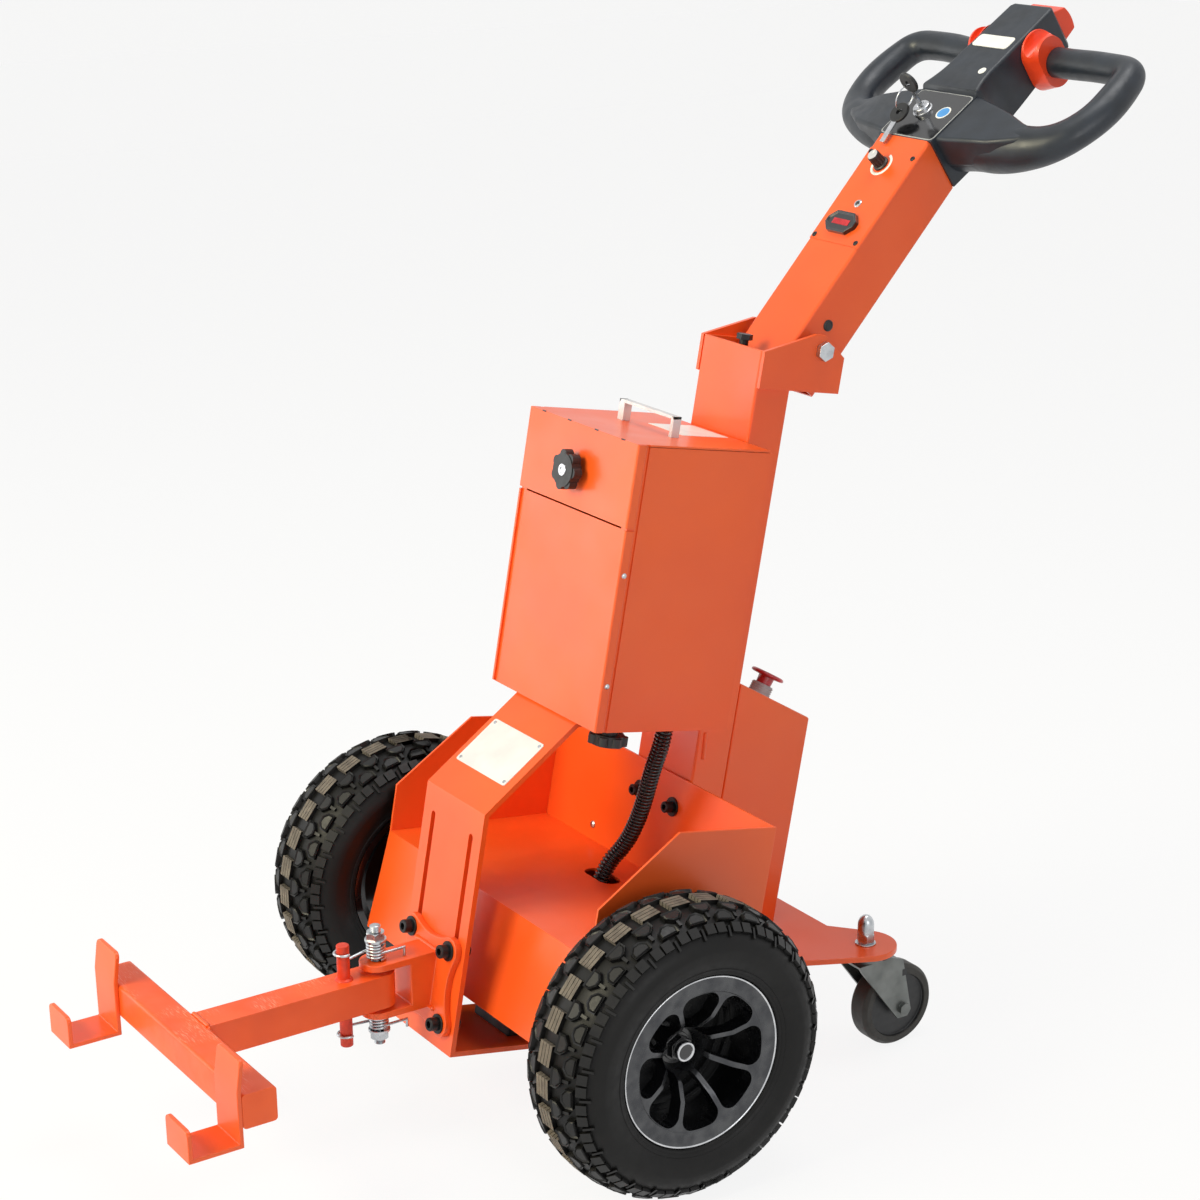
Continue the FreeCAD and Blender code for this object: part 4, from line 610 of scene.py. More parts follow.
def on_crown(piece, radius, across, tilt, turn):
    """Lay a flat block on the tyre at its radius and distance from the middle, leaned and turned."""
    piece.matrix_world = (Matrix.Rotation(math.radians(turn), 4, "Z")
                          @ Matrix.Translation(Vector((radius, 0, across)) * MM)
                          @ Matrix.Rotation(math.radians(-tilt), 4, "Y"))
    only(piece)
    bpy.ops.object.transform_apply(location=True, rotation=True, scale=True)
    return piece


def mirrored(piece, name):
    """The same block on the tyre's other half."""
    copy = twin(piece, name)
    edit(copy)
    bpy.ops.transform.resize(value=(1, 1, -1), center_override=(0, 0, 0))
    bpy.ops.mesh.normals_make_consistent(inside=False)
    deselect()
    return copy


PITCH = 360 / 28


def pressed(piece, rim=1.7, deep=1.6):
    """Press the block's top in behind a rim, as its chevron groove is."""
    edit(piece, lambda c, n: n.x > 0.9)
    bpy.ops.mesh.dissolve_faces()
    bpy.ops.mesh.inset(thickness=rim * MM, depth=-deep * MM)
    bpy.ops.mesh.inset(thickness=rim * 0.6 * MM, depth=deep * 0.8 * MM)
    bpy.ops.object.mode_set(mode="OBJECT")
    return piece


def inwards(piece):
    """The same block with its point towards the middle of the tread."""
    edit(piece)
    bpy.ops.transform.resize(value=(1, 1, -1), center_override=(0, 0, 0))
    bpy.ops.mesh.normals_make_consistent(inside=False)
    deselect()
    return piece


def tread(name):
    ribs = [on_crown(crown_block(f"rib_{i}", 23, 4.7), 162.4, (i - 1.5) * 5.4, 0, 0) for i in range(4)]
    half = [on_crown(pressed(crown_block("house", 21, 8.5, point=6.5, narrow=0.36)), 161.4, 18.2, 10, PITCH / 2),
            on_crown(inwards(pressed(crown_block("arrow", 21, 8.5, point=5.5, narrow=0.4))), 155.4, 38.4, 27, 0),
            on_crown(crown_block("bridge", 3.4, 9, 4), 156.6, 31.5, 22, PITCH / 2),
            on_crown(crown_block("shoulder_rib", 2.6, 12, 8), 144.2, 51.0, 50, 0)]
    for i, shift in enumerate((-PITCH * 0.2, PITCH * 0.2)):
        half.append(on_crown(crown_block(f"shoulder_{i}", 11, 11, 8), 147.8, 48.2, 42, shift + PITCH / 2))
    other = [mirrored(piece, f"{piece.name}_far") for piece in half]
    piece = joined(name, *ribs, *half, *other)
    edit(piece)
    bpy.ops.mesh.spin(steps=28, angle=math.radians(360), center=(0, 0, 0), axis=(0, 0, 1), dupli=True)
    bpy.ops.object.mode_set(mode="OBJECT")
    print("blocks in one pitch:", len(ribs) + len(half) * 2, "faces in all:", len(piece.data.polygons))
    return piece


def tyre():
    """Carcass and tread in one piece, with the worn crown faces in their own finish."""
    body = tyre_carcass("carcass")
    body.data.materials.append(TYRE_RUBBER)
    blocks = tread("tread")
    blocks.data.materials.append(TREAD_RUBBER)
    whole = joined("tyre_whole", body, blocks)
    whole.data.materials.append(WORN_RUBBER)
    tread_slot = whole.data.materials.find(TREAD_RUBBER.name)
    for face in whole.data.polygons:
        reach = math.hypot(face.center.x, face.center.y) / MM
        if face.material_index == tread_slot and reach > 159.5 and abs(face.center.z) < 11 * MM:
            face.material_index = 2
    return whole


first_tyre = tyre()
for side, sign in SIDES.items():
    piece = twin(first_tyre, f"tyre_{side}_dressed")
    hand_over(piece, f"wheel_{side}", None, wheel_frame(sign), [f"tyre_{side}"], 40)
bpy.data.objects.remove(first_tyre)
print("tyres dressed")

# %% [markdown]
# ## Rims, hubs and shafts
# The rims are cast, enamelled black, and then turned on a lathe, so the flat ring and the spokes' outer edges
# are bare grey metal and the rest stays black. The faces that the cutter met are picked by their direction.

# %% Rims
for side, sign in SIDES.items():
    rim = copied(f"rim_{side}")
    soften_edges(rim, 0.8, 2, 30)
    back = wheel_frame(sign).inverted()
    rim.data.materials.clear()
    rim.data.materials.append(GLOSS_BLACK)
    rim.data.materials.append(TURNED_FACE)
    rim.data.materials.append(BRIGHT_STEEL)
    for face in rim.data.polygons:
        spot = (back @ face.center) / MM
        way = back.to_3x3() @ face.normal
        reach = math.hypot(spot.x, spot.y)
        front = way.z > 0.25 and spot.z > 3 and (reach < 79 or spot.z > 48)
        face.material_index = 2 if spot.z > 47.2 and reach > 93.6 else 1 if front else 0
    hand_over(rim, f"wheel_{side}", None, stands_for=[f"rim_{side}"], smooth=35)
    lip = lathe(f"rim_lip_edge_{side}", [(93.0, 48.3), (93.5, 49.0), (94.4, 49.3), (95.0, 48.8), (95.1, 48.0)], 112)
    hand_over(lip, f"wheel_{side}", BRIGHT_STEEL, wheel_frame(sign), smooth=60)
    dressed(f"half_shaft_{side}", GLOSS_BLACK, 0.9, 3)
    ring = lathe(f"hub_ring_{side}", [(8.0, 20), (8.6, 20.8), (10.4, 20.8), (11, 20), (11, 18), (8, 18), (8, 20)], 40)
    hand_over(ring, f"wheel_{side}", BRIGHT_STEEL, wheel_frame(sign))
for node in ("transaxle", "drive_motor"):
    dressed(node, DARK_STEEL, 2.0, 3)
print("rims and drive dressed")

# %% [markdown]
# ## The battery box
# The box is thin folded sheet. Its front cover and the lid's flap wrap a finger's width round both sides, and
# small screws hold them. Four short slots along the lid's front fold let the sheet bend cleanly. Each is drawn
# as a small black block, painted shade for the dark gap of the open slot. The wrap is a softened strip that stands
# a sheet's thickness proud, so its edge throws a fine line of shadow.

# %% Strips, slots and screws of the box


def pan_screw(name, radius=3.0, high=1.6):
    """A small domed screw head along local z with a cross-shaped drive pressed into it."""
    head = lathe(name, [(0, 0), (radius, 0), (radius, high * 0.35), (radius * 0.75, high * 0.8),
                        (radius * 0.3, high), (0, high)], steps=20)
    for turn in (0, 90):
        arm = block(f"{name}_arm", (radius * 1.1, radius * 0.24, high * 0.5), (0, 0, high * 1.05))
        arm.rotation_euler.z = math.radians(turn)
        only(arm)
        bpy.ops.object.transform_apply(rotation=True)
        tool = bpy.data.objects[arm.name]
        modify(head, "BOOLEAN", operation="DIFFERENCE", object=tool, solver="EXACT")
        bpy.data.objects.remove(tool)
    return head


def turned_to(way, place):
    """A local frame whose z points along the given axis, at a place in mm."""
    turns = {"+x": (0, 90, 0), "-x": (0, -90, 0), "-y": (90, 0, 0), "+y": (-90, 0, 0), "+z": (0, 0, 0),
             "-z": (180, 0, 0)}[way]
    spot = Matrix.Translation(Vector(place) * MM)
    turn = Matrix.Identity(4)
    for axis, angle in zip("XYZ", turns):
        turn = Matrix.Rotation(math.radians(angle), 4, axis) @ turn
    return spot @ turn


screw = pan_screw("screw_master")
for side, sign in SIDES.items():
    way = "+x" if sign > 0 else "-x"
    for label, low, high, body in (("cover", 283.5, 500.8, "chassis"), ("flap", 503.6, 591.0, "box_lid")):
        strip = block(f"box_{label}_wrap_{side}", (4.4, 11.6, high - low), (sign * 102.4, -27.2, (low + high) / 2))
        edit(strip, lambda a, b: abs(a.z - b.z) > 50 and a.x * sign > 102.4 and b.x * sign > 102.4, "EDGE")
        bpy.ops.mesh.bevel(offset=2.1 * MM, segments=5, affect="EDGES")
        deselect()
        soften_edges(strip, 0.3, 2)
        hand_over(strip, body, POWDER_COAT, CHASSIS)
    for i, z in enumerate((453.5, 334.0)):
        piece = twin(screw, f"box_screw_{side}_{i}")
        hand_over(piece, "chassis", ZINC, CHASSIS @ turned_to(way, (sign * 104.3, -26.4, z)))
bpy.data.objects.remove(screw)
# The slots are not cut. Each is a small black block on the fold, painted shade for the dark gap of a slot.
for i, x in enumerate((-76, -26, 26, 76)):
    slot_shade = block(f"lid_fold_slot_{i}", (7, 1.2, 1.4), (x, -32.9, 591.2))
    soften_edges(slot_shade, 0.3, 2)
    hand_over(slot_shade, "box_lid", BLACK_NYLON, CHASSIS)
print("box trimmed")

# %% [markdown]
# The lid carries a bow handle of bright flat bar, folded twice, and a blank white label. The handle starts as a
# bar whose two ends are extruded down into feet. Its folds are then rounded.

# %% Handle and label on the lid
bow = block("bow_handle", (92, 10, 3.2), (1.5, 49.5, 612.4))
edit(bow, lambda c, n: abs(n.x) > 0.9)
bpy.ops.object.mode_set(mode="OBJECT")
for sign in SIDES.values():
    edit(bow, lambda c, n: n.z < -0.9 and abs(c.x) < 60)
    bpy.ops.object.mode_set(mode="OBJECT")
    edit(bow, lambda c, n: n.x * sign > 0.9)
    push(value=(sign * 5, 0, 0))
    bpy.ops.object.mode_set(mode="OBJECT")
    edit(bow, lambda c, n: n.z < -0.9 and c.x * sign > 44)
    push(value=(0, 0, -19.2))
    bpy.ops.object.mode_set(mode="OBJECT")
edit(bow, lambda a, b: abs(b.y - a.y) > 5 and min(a.z, b.z) > 609 and abs(abs(a.x - 1.5) - 51) < 0.5, "EDGE")
bpy.ops.mesh.bevel(offset=4 * MM, segments=5, affect="EDGES")
bpy.ops.object.mode_set(mode="OBJECT")
soften_edges(bow, 0.5, 2, 50)
hand_over(bow, "box_lid", SATIN_BAR, CHASSIS, ["lid_handle"])


def sticker(name, size, round_by, high=0.35):
    """A thin plate with rounded corners, lying on local z = 0."""
    plate = block(name, (size[0], size[1], high), (0, 0, high / 2))
    edit(plate, lambda a, b: abs(a.z - b.z) > high * 0.5, "EDGE")
    bpy.ops.mesh.bevel(offset=round_by * MM, segments=4, affect="EDGES")
    deselect()
    return plate


hand_over(sticker("lid_label", (66, 62), 2), "box_lid", WHITE_VINYL,
          CHASSIS @ turned_to("+z", (2.5, 103, 591.5)))
for node, width in (("lid_knob", 2.2), ("clamp_knob", 2.2)):
    dressed(node, BLACK_NYLON, width, 3, angle=30, smooth=50)
dressed("lid_hinge_pin", POWDER_COAT, 0.3)
latch = copied("clamp_knob")
settle(latch, CHASSIS @ Matrix.Translation(Vector((60, -36, 2)) * MM) @ CHASSIS.inverted())
hand_over(soften_edges(latch, 2.2, 3, 30), "chassis", BLACK_NYLON, smooth=50)
cap = lathe("knob_insert", [(0, 0), (6.5, 0), (6.2, 0.9), (3.4, 1.1), (3.0, 0.2), (0, 0.2)], steps=28)
hand_over(cap, "box_lid", BRIGHT_STEEL, CHASSIS @ turned_to("-y", (0, -33.1 - 18, 542.5)))
print("lid fitted")

# %% [markdown]
# ## Plates and small controls on the front and rear
# A blank aluminium plate is riveted to the strap's slope. The emergency stop is a red mushroom cap over a grey
# ribbed collar, turned as one outline each, with the charging socket beside it.

# %% Data plate, emergency stop and socket
SLOPE = leaning(CHASSIS, (-2, -76.7, 231.0), -44.86)
hand_over(sticker("data_plate", (100, 63), 3, 0.7), "chassis", PLATE_ALUMINIUM, SLOPE)
for i, (x, y) in enumerate(((-45, -27), (45, -27), (45, 27), (-45, 27))):
    rivet = lathe(f"plate_rivet_{i}", [(0, 0), (2.2, 0), (1.8, 0.7), (0, 1.0)], steps=14)
    hand_over(rivet, "chassis", ZINC, SLOPE @ turned_to("+z", (x, y, 0.6)))

STOP = leaning(CHASSIS, (0, 246.5, 299), 21.43)
teeth = []
for i in range(4):
    teeth += [(13.0, 1.0 + i * 2.6), (13.0, 2.6 + i * 2.6), (12.2, 2.8 + i * 2.6), (12.2, 3.4 + i * 2.6)]
collar = lathe("stop_collar_ribbed", [(0, 0), (13, 0)] + teeth + [(11.6, 12), (0, 12)], steps=36)
hand_over(collar, "chassis", GREY_PLASTIC, STOP @ turned_to("+z", (12, 8, 0)))
cap = lathe("stop_cap_domed", [(0, 12), (9, 12), (9.4, 20.6), (17, 21.2), (19.4, 22.0), (20, 23.4), (19.2, 25.0),
                               (17, 25.9), (11, 25.9), (6, 25.2), (0, 24.9)], steps=48)
hand_over(cap, "chassis", RED_PLASTIC, STOP @ turned_to("+z", (12, 8, 0)),
          ["emergency_stop"], 50)
drum = lathe("socket_drum_bored", [(0, 4), (7.6, 4), (7.8, 15.2), (8.6, 16), (11.2, 16), (12, 15.2), (12, 3),
                                   (14.5, 2.6), (14.5, 0), (0, 0)], steps=40)
hand_over(drum, "chassis", BLACK_NYLON, STOP @ turned_to("+z", (-24, -20, 0)),
          ["charge_socket"])
print("plate, stop and socket placed")

# %% [markdown]
# ## Bolts, nuts and washers
# A hexagon nut is a six-sided prism whose corners are turned off by a cone. It is made here the same way: the
# prism is cut down by a chamfered disc. Washers are flat rings, and the ends of bolts carry fine thread ridges.

# %% Hexagon heads, washers and threads


def hexagon(name, radius, high, both=False):
    """A hexagon of that corner radius from z = 0, its top corners (or both) chamfered by a cone."""
    prism = round_bar(name, radius, 0, high, 6)
    foot = [(0, 0), (radius * 0.9, 0), (radius * 1.01, high * 0.18)] if both else [(0, 0), (radius * 1.01, 0)]
    cone = lathe(f"{name}_cone", foot + [(radius * 1.01, high * 0.8), (radius * 0.88, high), (0, high)], steps=48)
    modify(prism, "BOOLEAN", operation="INTERSECT", object=cone, solver="EXACT")
    bpy.data.objects.remove(cone)
    return soften_edges(prism, 0.25, 2, 25)


def washer(name, radius, bore, z, thick=2.0):
    """A flat ring with its edges broken."""
    return lathe(name, [(bore, z), (radius - 0.4, z), (radius, z + 0.4), (radius, z + thick - 0.4),
                        (radius - 0.4, z + thick), (bore, z + thick), (bore, z)], steps=40)


def threaded(name, radius, start, length, pitch=1.25):
    """A bar end with thread ridges and a chamfered tip."""
    ridges = [(0, start)]
    for i in range(int(length / pitch)):
        z = start + i * pitch
        ridges += [(radius - 0.7, z), (radius, z + pitch * 0.5)]
    end = start + length
    return lathe(name, ridges + [(radius - 0.7, end - 0.6), (radius - 1.6, end), (0, end)], steps=28)


def at_height(piece, z):
    """Move a piece up its own z and apply it."""
    return settle(piece, Matrix.Translation(Vector((0, 0, z)) * MM))


parts = [threaded("pivot_thread_top", 6, 30, 42.5), threaded("pivot_thread_foot", 6, -68, 38),
         round_bar("pivot_shank", 5.9, -32, 64, 28), washer("pivot_washer_top", 12, 5, 54, 3),
         washer("pivot_washer_foot", 12, 5, -53, 3), at_height(hexagon("pivot_head", 11, 8), 57),
         at_height(hexagon("pivot_nut", 11, 8, True), -61)]
PIVOT = leaning(GROUND, (0, -194, 169.5))
hand_over(joined("pivot_bolt_dressed", *parts), "chassis", ZINC, PIVOT, ["pivot_bolt"])


def cap_screw(name, radius=7.5, top=12.0):
    """A round head with a hexagon socket, on its washer, pointing along +z from the clamped face."""
    head = lathe(name, [(0, 2), (radius - 0.5, 2), (radius, 2.6), (radius, top - 1), (radius - 0.8, top), (0, top)],
                 steps=36)
    socket = round_bar(f"{name}_socket", radius * 0.58, top - 5, 8, 6)
    modify(head, "BOOLEAN", operation="DIFFERENCE", object=socket, solver="EXACT")
    bpy.data.objects.remove(socket)
    return joined(name, head, washer(f"{name}_washer", 11, 4, 0))


def shifted(piece, frame_in, place, way):
    """Put a piece at a place of a frame, pointing along one of its axes, and leave it there."""
    return settle(piece, frame_in @ turned_to(way, place))


bolts = []
for x in (-39.5, 39.5):
    for z in (21.5, -62.5):
        label = f"{'r' if x > 0 else 'l'}{'h' if z > 0 else 'f'}"
        bolts.append(shifted(cap_screw(f"plate_screw_{label}"), CHASSIS, (x, -134, z), "-y"))
        back = [washer(f"plate_washer_{label}", 11, 4, 0), at_height(hexagon(f"plate_nut_{label}", 9, 8), 2),
                threaded(f"plate_thread_{label}", 3.8, 2, 12)]
        bolts.append(shifted(joined(f"plate_back_{label}", *back), CHASSIS, (x, -120, z), "+y"))
hand_over(joined("bracket_bolts_dressed", *bolts), "chassis", BLACK_OXIDE,
          stands_for=["bracket_bolts"])
bolts = [shifted(cap_screw(f"wall_screw_{i}", 6.5, 12.5), CHASSIS, (x, 142, 171), "-y")
         for i, x in enumerate((-32, 32))]
hand_over(joined("wall_bolts_dressed", *bolts), "chassis", BLACK_OXIDE, stands_for=["wall_bolts"])
spot = shifted(pan_screw("rear_wall_rivet", 4.5, 2.4), CHASSIS, (-112, 142, 102), "-y")
hand_over(spot, "chassis", ZINC)

# %% [markdown]
# ### Centring springs
# Two torsion springs hold the coupling straight. One arm of each rests on the bracket and the other follows the
# red pin. The coil is one circle of wire wound by a Screw modifier, and the arms are bars that leave it on a
# tangent. The forward arm swings with the coupling about the coil's own middle, so it stays joined to it.

# %% Springs


def wire_ring(name, place, wire=1.6, turn=(90, 0, 0)):
    """An unfilled circle, the section of a wire, facing along local y."""
    deselect()
    bpy.ops.mesh.primitive_circle_add(vertices=12, radius=wire * MM, fill_type="NOTHING",
                                      location=Vector(place) * MM, rotation=[math.radians(a) for a in turn])
    piece = named(name)
    bpy.ops.object.transform_apply(location=True, rotation=True, scale=True)
    return piece


coils = []
for word, start, arm_z, rise in (("top", 33.9, 42, 8), ("foot", -49.9, -44, -2)):
    coil = wire_ring(f"coil_{word}", (9.2, 0, start))
    modify(coil, "SCREW", angle=math.radians(360), screw_offset=3.55 * MM, iterations=5, steps=28,
           render_steps=28, axis="Z", use_normal_calculate=True, use_smooth_shade=True)
    coils.append(coil)
    rear = round_bar(f"rear_arm_{word}", 1.6, 0, 30, 14, (-90, 0, 0))
    tail = round_bar(f"rear_tail_{word}", 1.6, -9, 10, 14)
    settle(tail, Matrix.Translation(Vector((0, 29.4, 0)) * MM))
    coils.append(settle(joined(f"rear_{word}", rear, tail), Matrix.Translation(Vector((9.2, 0, arm_z)) * MM)))
    lean = math.degrees(math.atan2(rise, 40))
    front = round_bar(f"front_arm_{word}", 1.6, 0, 40 / math.cos(math.radians(lean)), 14, (90 + lean, 0, 0))
    hook = wire_ring(f"arm_hook_{word}", (-9.2, 0, 0))
    edit(hook)
    bpy.ops.mesh.spin(steps=14, angle=math.radians(-200), center=(0, 0, 0), axis=(0, 0, 1))
    tidy(hook)
    settle(front, Matrix.Translation(Vector((-9.2, 0, arm_z)) * MM))
    settle(hook, Matrix.Translation(Vector((0, -40, arm_z + rise)) * MM))
    hand_over(joined(f"spring_arm_{word}", front, hook), "coupling_bar", ZINC, PIVOT, smooth=50)
hand_over(tidy(joined("springs_dressed", *coils)), "chassis", ZINC, PIVOT, ["centring_springs"], 50)
dressed("anchor_pin", RED_ENAMEL, 1.0, 3)
print("springs wound")

# %% Weld beads


def weld(name, start, end, radius=2.6):
    """A rippled fillet bead between two points of the local frame."""
    a, b = Vector(start), Vector(end)
    length = (b - a).length
    ripples = [(0, -radius * 0.5)]
    for i in range(int(length / 2.2) + 1):
        ripples += [(radius * 0.86, i * 2.2), (radius, i * 2.2 + 1.1)]
    bead = lathe(name, ripples + [(0, length + radius)], steps=10)
    turn = (b - a).to_track_quat("Z", "Y").to_matrix().to_4x4()
    return settle(bead, Matrix.Translation(a * MM) @ turn)


seams = [("ear_top", "chassis", GROUND, (-26, -129.6, 201.5), (26, -129.6, 201.5)),
         ("ear_foot", "chassis", GROUND, (-26, -141.4, 137.5), (26, -141.4, 137.5)),
         ("column_lug", "chassis", CHASSIS, (53.5, 154.5, 263.7), (53.5, 156.5, 234.6))]
for sign in SIDES.values():
    seams.append((f"tongue_side_{'r' if sign > 0 else 'l'}", "coupling_bar", Matrix(), (sign * 19.2, -514.2, 152),
                  (sign * 19.2, -514.2, 187)))
seams.append(("tongue_top", "coupling_bar", Matrix(), (-17, -514.2, 188.6), (17, -514.2, 188.6)))
for name, body, base, start, end in seams:
    hand_over(weld(f"weld_{name}", start, end), body, POWDER_COAT, base, smooth=70)
for word, z in (("top", 188.4), ("foot", 150.6)):
    fillet = lathe(f"pin_weld_{word}", [(6.9, -2.4), (9.6, -1), (10, 0), (9.6, 1), (6.9, 2.4)], steps=30)
    hand_over(fillet, "coupling_bar", RED_ENAMEL, leaning(GROUND, (0, -234, z)), smooth=70)
print("beads laid:", len(seams) + 2)

# %% [markdown]
# ### Castors
# Each castor is a zinc plated pressing: two races of balls, a fork with rolled edges, and a rubber tyre on a
# plain hub. A domed nut closes the stem. Its dome is turned and the hexagon under it is chamfered.

# %% Castors and their stems
domes = []
for side, sign in SIDES.items():
    base = GROUND @ turned_to("+z", (sign * 155, 355, 134))
    race = lathe(f"race_{side}", [(6.1, -10), (24, -10), (26, -9), (26, -7.6), (25, -7), (6.1, -7)], steps=48)
    dome = lathe(f"dome_{side}", [(0, 14), (9.4, 14), (9.4, 24), (8.8, 28), (7.2, 31.6), (4.4, 34.4), (1.6, 35.6), (0, 35.8)],
                 steps=36)
    stem = round_bar(f"stem_bar_{side}", 6, -21, 35, 28)
    whole = joined(f"stem_{side}", race, washer(f"stem_washer_{side}", 12, 5, 0), stem, dome,
                   at_height(hexagon(f"stem_nut_{side}", 10.5, 12, True), 2))
    domes.append(settle(whole, base))
    dressed(f"castor_fork_{side}", GALVANISED, 0.9, 3, smooth=50)
    # The fork's piercings are not cut. Each is a thin black plate on the fork's side, painted shade for the hole.
    for i in (-1, 1):
        piercing_shade = soften_edges(block(f"fork_piercing_{side}_{i}", (0.6, 6, 8), (sign * 155 + i * 23.1, 395.7, 95.4)), 0.2)
        hand_over(piercing_shade, f"castor_fork_{side}", BLACK_NYLON, GROUND)
    wheel = copied(f"castor_wheel_{side}")
    soften_edges(wheel, 0.8, 2, 30)
    wheel.data.materials.clear()
    for material in (CASTOR_RUBBER, BLACK_NYLON, GALVANISED):
        wheel.data.materials.append(material)
    hub = (GROUND @ turned_to("+x", (sign * 155, 395, 50))).inverted()
    for face in wheel.data.polygons:
        rim_points = [hub @ wheel.data.vertices[i].co / MM for i in face.vertices]
        reach = max(math.hypot(v.x, v.y) for v in rim_points)
        face.material_index = 2 if reach < 11.4 else 1 if reach < 38.8 else 0
    hand_over(wheel, f"castor_wheel_{side}", None, stands_for=[f"castor_wheel_{side}"])
hand_over(joined("castor_stems_dressed", *domes), "chassis", ZINC, stands_for=["castor_stems"], smooth=40)
print("castors dressed")

# %% [markdown]
# ## The tiller
# A cover is screwed to the front of the tiller tube. It wraps a few millimetres round both sides, so its edge
# shows as a line. On it sit the charge gauge, a pilot lamp and the speed knob with its printed arc.

# %% Tiller cover, gauge, lamp and knob
cover = block("tiller_cover", (85.2, 3.6, 124), (0, -26.9, 175.5))
edit(cover, lambda a, b: abs(a.z - b.z) > 50 and min(a.y, b.y) < -28, "EDGE")
bpy.ops.mesh.bevel(offset=3.2 * MM, segments=5, affect="EDGES")
deselect()
hand_over(soften_edges(cover, 0.3, 2, 50), "tiller", POWDER_COAT, TILLER)
for i, (x, z) in enumerate(((-36, 232), (36, 232), (-36, 118.5), (36, 118.5))):
    head = pan_screw(f"cover_screw_{i}", 3.2, 1.7)
    hand_over(head, "tiller", BLACK_OXIDE, TILLER @ turned_to("-y", (x, -28.6, z)))
plug = lathe("tube_plug", [(0, 0), (6.4, 0), (6.4, 0.6), (5.2, 1.3), (4.2, 0.5), (0, 0.5)], steps=24)
hand_over(plug, "tiller", BLACK_NYLON, TILLER @ turned_to("+x", (42, -1.5, 29.3)))

bezel = block("gauge_bezel", (48, 6, 26), (-3, -31, 138))
edit(bezel, lambda a, b: abs(a.y - b.y) > 5, "EDGE")
bpy.ops.mesh.bevel(offset=9.5 * MM, segments=1, affect="EDGES")
bpy.ops.object.mode_set(mode="OBJECT")
edit(bezel, lambda c, n: n.y < -0.9)
bpy.ops.mesh.inset(thickness=2.2 * MM, depth=0)
bpy.ops.mesh.inset(thickness=0.6 * MM, depth=-1.4 * MM)
deselect()
hand_over(soften_edges(bezel, 0.6, 3, 40), "tiller", PANEL_GLOSS, TILLER, ["charge_gauge"])
for i in range(10):
    bar = block(f"gauge_segment_{i}", (2.1, 0.5, 7), (-15.6 + i * 2.8, -32.8, 138))
    hand_over(bar, "tiller", RED_LENS, TILLER)
ring = lathe("lamp_ring", [(3.0, 0), (5, 0), (5, 0.8), (4.3, 1.5), (3.0, 1.5), (3.0, 0)], steps=28)
hand_over(ring, "tiller", BRIGHT_STEEL, TILLER @ turned_to("-y", (-0.6, -28.6, 165.5)))
lens = lathe("lamp_lens", [(0, 0), (3.0, 0), (3.0, 1.2), (1.8, 2.0), (0, 2.3)], steps=24)
hand_over(lens, "tiller", PANEL_GLOSS, TILLER @ turned_to("-y", (-0.6, -28.6, 165.5)))

knob = lathe("speed_knob_turned", [(0, 0), (9, 0), (9, 2.4), (7.6, 3.4), (7.2, 16.4), (6.4, 18), (0, 18)], steps=40)
flutes = []
for i in range(12):
    flute = round_bar(f"flute_{i}", 0.8, 5, 14, 10)
    settle(flute, Matrix.Rotation(math.radians(i * 30), 4, "Z") @ Matrix.Translation(Vector((7.5, 0, 0)) * MM))
    flutes.append(flute)
tool = joined("flutes", *flutes)
modify(knob, "BOOLEAN", operation="DIFFERENCE", object=tool, solver="EXACT")
bpy.data.objects.remove(tool)
KNOB = TILLER @ turned_to("-y", (-6, -28.6, 218.5))
hand_over(knob, "tiller", BLACK_NYLON, KNOB @ Matrix.Scale(17.4 / 18, 4, (0, 0, 1)), ["speed_knob"])
pointer = block("knob_pointer", (1.2, 5.5, 0.5), (0, 3.6, 18.2))
hand_over(pointer, "tiller", WHITE_VINYL, KNOB)
insert = lathe("knob_insert_top", [(0, 17.6), (6.2, 17.6), (6.0, 18.1), (0, 18.2)], steps=32)
hand_over(insert, "tiller", SATIN_BAR, KNOB)
arc = wire_ring("speed_arc", (-13, 0, 0.1), 1.7, (90, 0, 0))
edit(arc)
bpy.ops.mesh.spin(steps=30, angle=math.radians(-250), center=(0, 0, 0), axis=(0, 0, 1))
bpy.ops.mesh.select_all(action="SELECT")
bpy.ops.transform.resize(value=(1, 1, 0.35), center_override=(0, 0, 0))
tidy(arc)
hand_over(arc, "tiller", WHITE_VINYL, KNOB, smooth=60)
for node, material, width in (("stop_bolt", BLACK_OXIDE, 0.5), ("tiller_bolt", ZINC, 1.2),
                              ("pivot_spacers", ZINC, 0.8), ("battery", BLACK_NYLON, 2.5)):
    dressed(node, material, width, 3)
print("tiller fitted")

# %% [markdown]
# ## The tiller head
# The head is one textured moulding in two halves. Its loops have no flat spots, so the copy is shaded smooth
# across all but its sharp edges. The glossy key panel, the lock with its keys and blank labels lie on it.

# %% Head, panel and labels
dressed("tiller_head", HEAD_MOULDING, 0, smooth=38)


